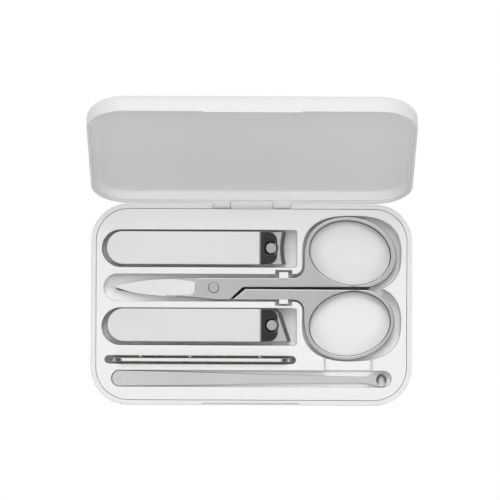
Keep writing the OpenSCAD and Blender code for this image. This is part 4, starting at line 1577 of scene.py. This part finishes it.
@dataclass
class NailFile:
    """The file, stored on its edge."""

    x: float = -52.3
    y: float = -20.725
    length: float = 67.5
    width: float = 10.0
    thick: float = 1.35
    end_flat: float = 0.4
    edge: float = 0.2
    side: float = 0.95
    floor: float = 2.2

    def build(self) -> None:
        """Builds the file lying, and lays it on its edge."""
        lay = Matrix(((1, 0, 0, self.x + self.length / 2), (0, 0, 1, self.y),
                      (0, 1, 0, self.floor + self.width / 2), (0, 0, 0, 1)))
        skin = Skin(lay)
        loop = rounded_box(self.length, self.width, self.width / 2 - self.end_flat, steps=14)
        skin.plate(loop, -self.thick / 2, self.thick / 2, self.edge)

        def paint(_centre: Vector, normal: Vector) -> Finish:
            """Leaves the two wide sides etched and the narrow edges bare, in pale steel that also
            paints in their highlight.
            """
            return ETCHED_STEEL if abs(normal.y) > self.side else BARE_EDGE_AND_HIGHLIGHT_STEEL

        skin.piece("nail_file_blade", ETCHED_STEEL, "nail_file", "brushed_steel", ["nail_file"],
                   paint=paint, more=[BARE_EDGE_AND_HIGHLIGHT_STEEL])


@dataclass
class EarPick:
    """The flat pick with its dished head."""

    x: float = -52.1
    y: float = -27.73
    floor: float = 6.4
    length: float = 103.0
    width: float = 5.9
    thick: float = 1.6
    head_a: float = 2.2
    head_b: float = 2.6
    # The stem's side as shares of the pick's length and half its width.
    stem: tuple[Point, ...] = (
        (0.94, 0.63), (0.92, 0.47), (0.89, 0.41), (0.75, 0.5), (0.52, 0.64), (0.25, 0.86))
    low_edge: float = 0.25
    top_edge: float = 0.15
    lean: float = 0.2
    dish: float = 0.36
    dish_a: float = 1.98
    dish_b: float = 2.35
    dish_rings: int = 9

    def build(self) -> None:
        """Builds the pick flat and sinks the dish into its head."""
        w, n = self.width / 2, self.length
        head = n - self.head_a
        tip = [(head + self.head_a * u, self.head_b * v)
               for u, v in spokes(1.0, range(0, 121, 10))]
        stem = [tip[-1], *((u * n, v * w) for u, v in self.stem), (w, w)]
        side = tip[:-1] + smooth(stem, 6)[:-1] + arc(w, 0, w, 90, 180, 16)
        loop = clean(side + [(px, -py) for px, py in reversed(side[1:-1])])
        lay = (Matrix.Translation((self.x, self.y, 0))
               @ Matrix.Rotation(math.radians(-self.lean), 4, "Z"))
        skin = Skin(lay)
        z0, z1 = self.floor, self.floor + self.thick
        low, high = skin.wall(loop, [*flipped(round_edge(self.low_edge, z0, 3, -1)),
                                     *round_edge(self.top_edge, z1, 4)])
        skin.cap(low)
        rings = []
        for k in range(self.dish_rings):
            share = 1 - k / self.dish_rings
            plan = oval(head, 0, self.dish_a * share, self.dish_b * share, steps=40)
            rings.append(skin.ring(plan, z1 - self.dish * (1 - share * share)))
        skin.stack(rings)
        skin.cap(rings[-1])
        skin.cap(high, rings[0])
        skin.piece("ear_pick_stem", SATIN_STEEL, "ear_pick", "satin_steel", ["ear_pick"])


# ---- the studio ----


@dataclass(frozen=True)
class Lamp:
    """A square soft lamp: its place and side in metres, and its watts."""

    name: str
    place: tuple[float, float, float]
    size: float
    power: float


@dataclass
class Studio:
    """White floor, soft light from above and behind, and the camera straight above."""

    camera: tuple[float, float, float] = (-0.6, 20.4, 1460.0)
    roll: float = 0.25
    lens: float = 279.3
    sensor: float = 36.0
    clip: tuple[float, float] = (0.05, 20.0)
    floor_half: float = 3.0
    aim: tuple[float, float, float] = (0.0, 0.02, 0.0)
    lamps: tuple[Lamp, ...] = (
        Lamp("key_overhead", (0.0, 0.75, 1.86), 0.9, 8.0),
        Lamp("key_behind", (0.0, 1.24, 1.56), 0.9, 13.0),
        Lamp("side_left", (-1.37, 0.0, 1.46), 1.0, 7.9),
        Lamp("side_right", (1.37, 0.0, 1.46), 1.0, 7.9),
        Lamp("fill_front", (0.0, -1.73, 1.0), 1.0, 7.0))
    sky_strength: float = 1.1
    sky_overhead: tuple[Point, ...] = (
        (0.0, 0.14), (0.4, 0.12), (0.6, 0.03), (0.92, 0.03), (0.965, 0.95), (1.0, 1.0))
    sky_behind: tuple[Point, ...] = (
        (0.0, 0.0), (0.12, 0.0), (0.26, 1.0), (0.8, 1.0), (0.92, 0.3), (1.0, 0.3))
    sky_width: tuple[Point, ...] = ((0.0, 1.0), (0.35, 1.0), (0.55, 0.0))

    def floor(self) -> None:
        """A pale floor that shows as plain white and still takes the shadow."""
        mesh = bpy.data.meshes.new("floor")
        h = self.floor_half
        mesh.from_pydata([(-h, -h, 0), (h, -h, 0), (h, h, 0), (-h, h, 0)], [], [(0, 1, 2, 3)])
        mat = bpy.data.materials.new("white_studio_floor")
        tree = empty_tree(mat)
        diffuse = add_node(tree, "ShaderNodeBsdfDiffuse", Color=linear("#f2f2f2"))
        glow = add_node(tree, "ShaderNodeEmission", Color=linear("#ffffff"), Strength=1.0)
        path = add_node(tree, "ShaderNodeLightPath")
        seen = add_node(tree, "ShaderNodeMath", {"operation": "MAXIMUM"},
                        in0=path.outputs["Is Camera Ray"], in1=path.outputs["Is Glossy Ray"])
        mixed = add_node(tree, "ShaderNodeMixShader", Fac=seen, in1=diffuse, in2=glow)
        add_node(tree, "ShaderNodeOutputMaterial", Surface=mixed)
        mesh.materials.append(mat)
        linked("floor", mesh)

    def world(self) -> None:
        """A sky with a white panel overhead, another behind, and little else.

        Steel mirrors it: flat faces take the panel overhead, edges that face the
        hinge take the one behind, and all others stay dark.
        """
        world = bpy.data.worlds.new("studio")
        bpy.context.scene.world = world
        tree = empty_tree(world)
        place = add_node(tree, "ShaderNodeTexCoord").outputs["Generated"]
        split = add_node(tree, "ShaderNodeSeparateXYZ", Vector=place)
        side = add_node(tree, "ShaderNodeMath", {"operation": "ABSOLUTE"}, in0=split.outputs["X"])
        path = add_node(tree, "ShaderNodeLightPath")
        panel = self.ramp(tree, split.outputs["Y"], self.sky_behind)
        for factor in (self.ramp(tree, side, self.sky_width), path.outputs["Is Glossy Ray"]):
            panel = add_node(tree, "ShaderNodeMath", {"operation": "MULTIPLY"}, in0=panel,
                             in1=factor)
        both = add_node(tree, "ShaderNodeMath", {"operation": "MAXIMUM"},
                        in0=self.ramp(tree, split.outputs["Z"], self.sky_overhead), in1=panel)
        light = add_node(tree, "ShaderNodeBackground", Color=both, Strength=self.sky_strength)
        white = add_node(tree, "ShaderNodeBackground", Color=linear("#ffffff"), Strength=1.0)
        mixed = add_node(tree, "ShaderNodeMixShader", Fac=path.outputs["Is Camera Ray"],
                         in1=light, in2=white)
        add_node(tree, "ShaderNodeOutputWorld", Surface=mixed)

    def ramp(self, tree: bpy.types.NodeTree, value: bpy.types.Node | bpy.types.NodeSocket,
             stops: Sequence[Point]) -> bpy.types.Node:
        """Turns a direction into a grey level.

        Args:
            tree: the world's node tree.
            value: the socket or node that gives the direction's share.
            stops: (share, level) pairs.

        Returns:
            The ramp.
        """
        ramp = add_node(tree, "ShaderNodeValToRGB", Fac=value)
        band = ramp.color_ramp
        while len(band.elements) < len(stops):
            band.elements.new(0.5)
        for element, (at, level) in zip(band.elements, stops):
            element.position = at
            element.color = (level, level, level, 1.0)
        return ramp

    def hang(self, lamp: Lamp) -> None:
        """Hangs a lamp that points at the case and shows in no reflection.

        Args:
            lamp: what to hang.
        """
        data = bpy.data.lights.new(lamp.name, "AREA")
        data.shape = "SQUARE"
        data.size = lamp.size
        data.energy = lamp.power
        obj = linked(lamp.name, data)
        obj.location = lamp.place
        aim = Vector(self.aim) - Vector(lamp.place)
        obj.rotation_euler = aim.to_track_quat("-Z", "Y").to_euler()
        obj.visible_glossy = False

    def view(self) -> None:
        """Places the camera as the photograph was taken."""
        data = bpy.data.cameras.new("camera")
        data.lens = self.lens
        data.sensor_width = self.sensor
        data.clip_start, data.clip_end = self.clip
        camera = linked("camera", data)
        camera.location = [v * MM for v in self.camera]
        camera.rotation_euler = (0.0, 0.0, math.radians(self.roll))
        bpy.context.scene.camera = camera

    def build(self) -> None:
        """Sets up the floor, the light, the camera and the view transform."""
        self.floor()
        self.world()
        for lamp in self.lamps:
            self.hang(lamp)
        self.view()
        bpy.context.scene.view_settings.view_transform = "Standard"


def dress_hidden_nodes() -> None:
    """Gives the CAD solids that stay their finish: the magnets and the hinge pin."""
    for node, finish in (("base_magnet", NICKEL), ("lid_magnet", NICKEL),
                         ("hinge_pin", TURNED_STEEL)):
        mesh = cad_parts[node].data
        mesh.materials.clear()
        mesh.materials.append(finish.material())
        LOG.info("%s: CAD solid kept", node)


def main() -> None:
    """Builds the case, the tools and the studio."""
    logging.basicConfig(level=logging.INFO, format="%(name)s %(message)s")
    case = Case()
    BaseShell(case).build()
    Tray(case).build()
    ClipTab(1).build()
    ClipTab(-1, nose_y=4.1).build()
    Lid(case).build()
    Clipper("curved_clipper", 7.3, 21.13, False).build()
    Clipper("slant_clipper", 7.65, -7.77, True).build()
    Scissors().build()
    NailFile().build()
    EarPick().build()
    dress_hidden_nodes()
    Studio().build()


if __name__ == "__main__":
    main()
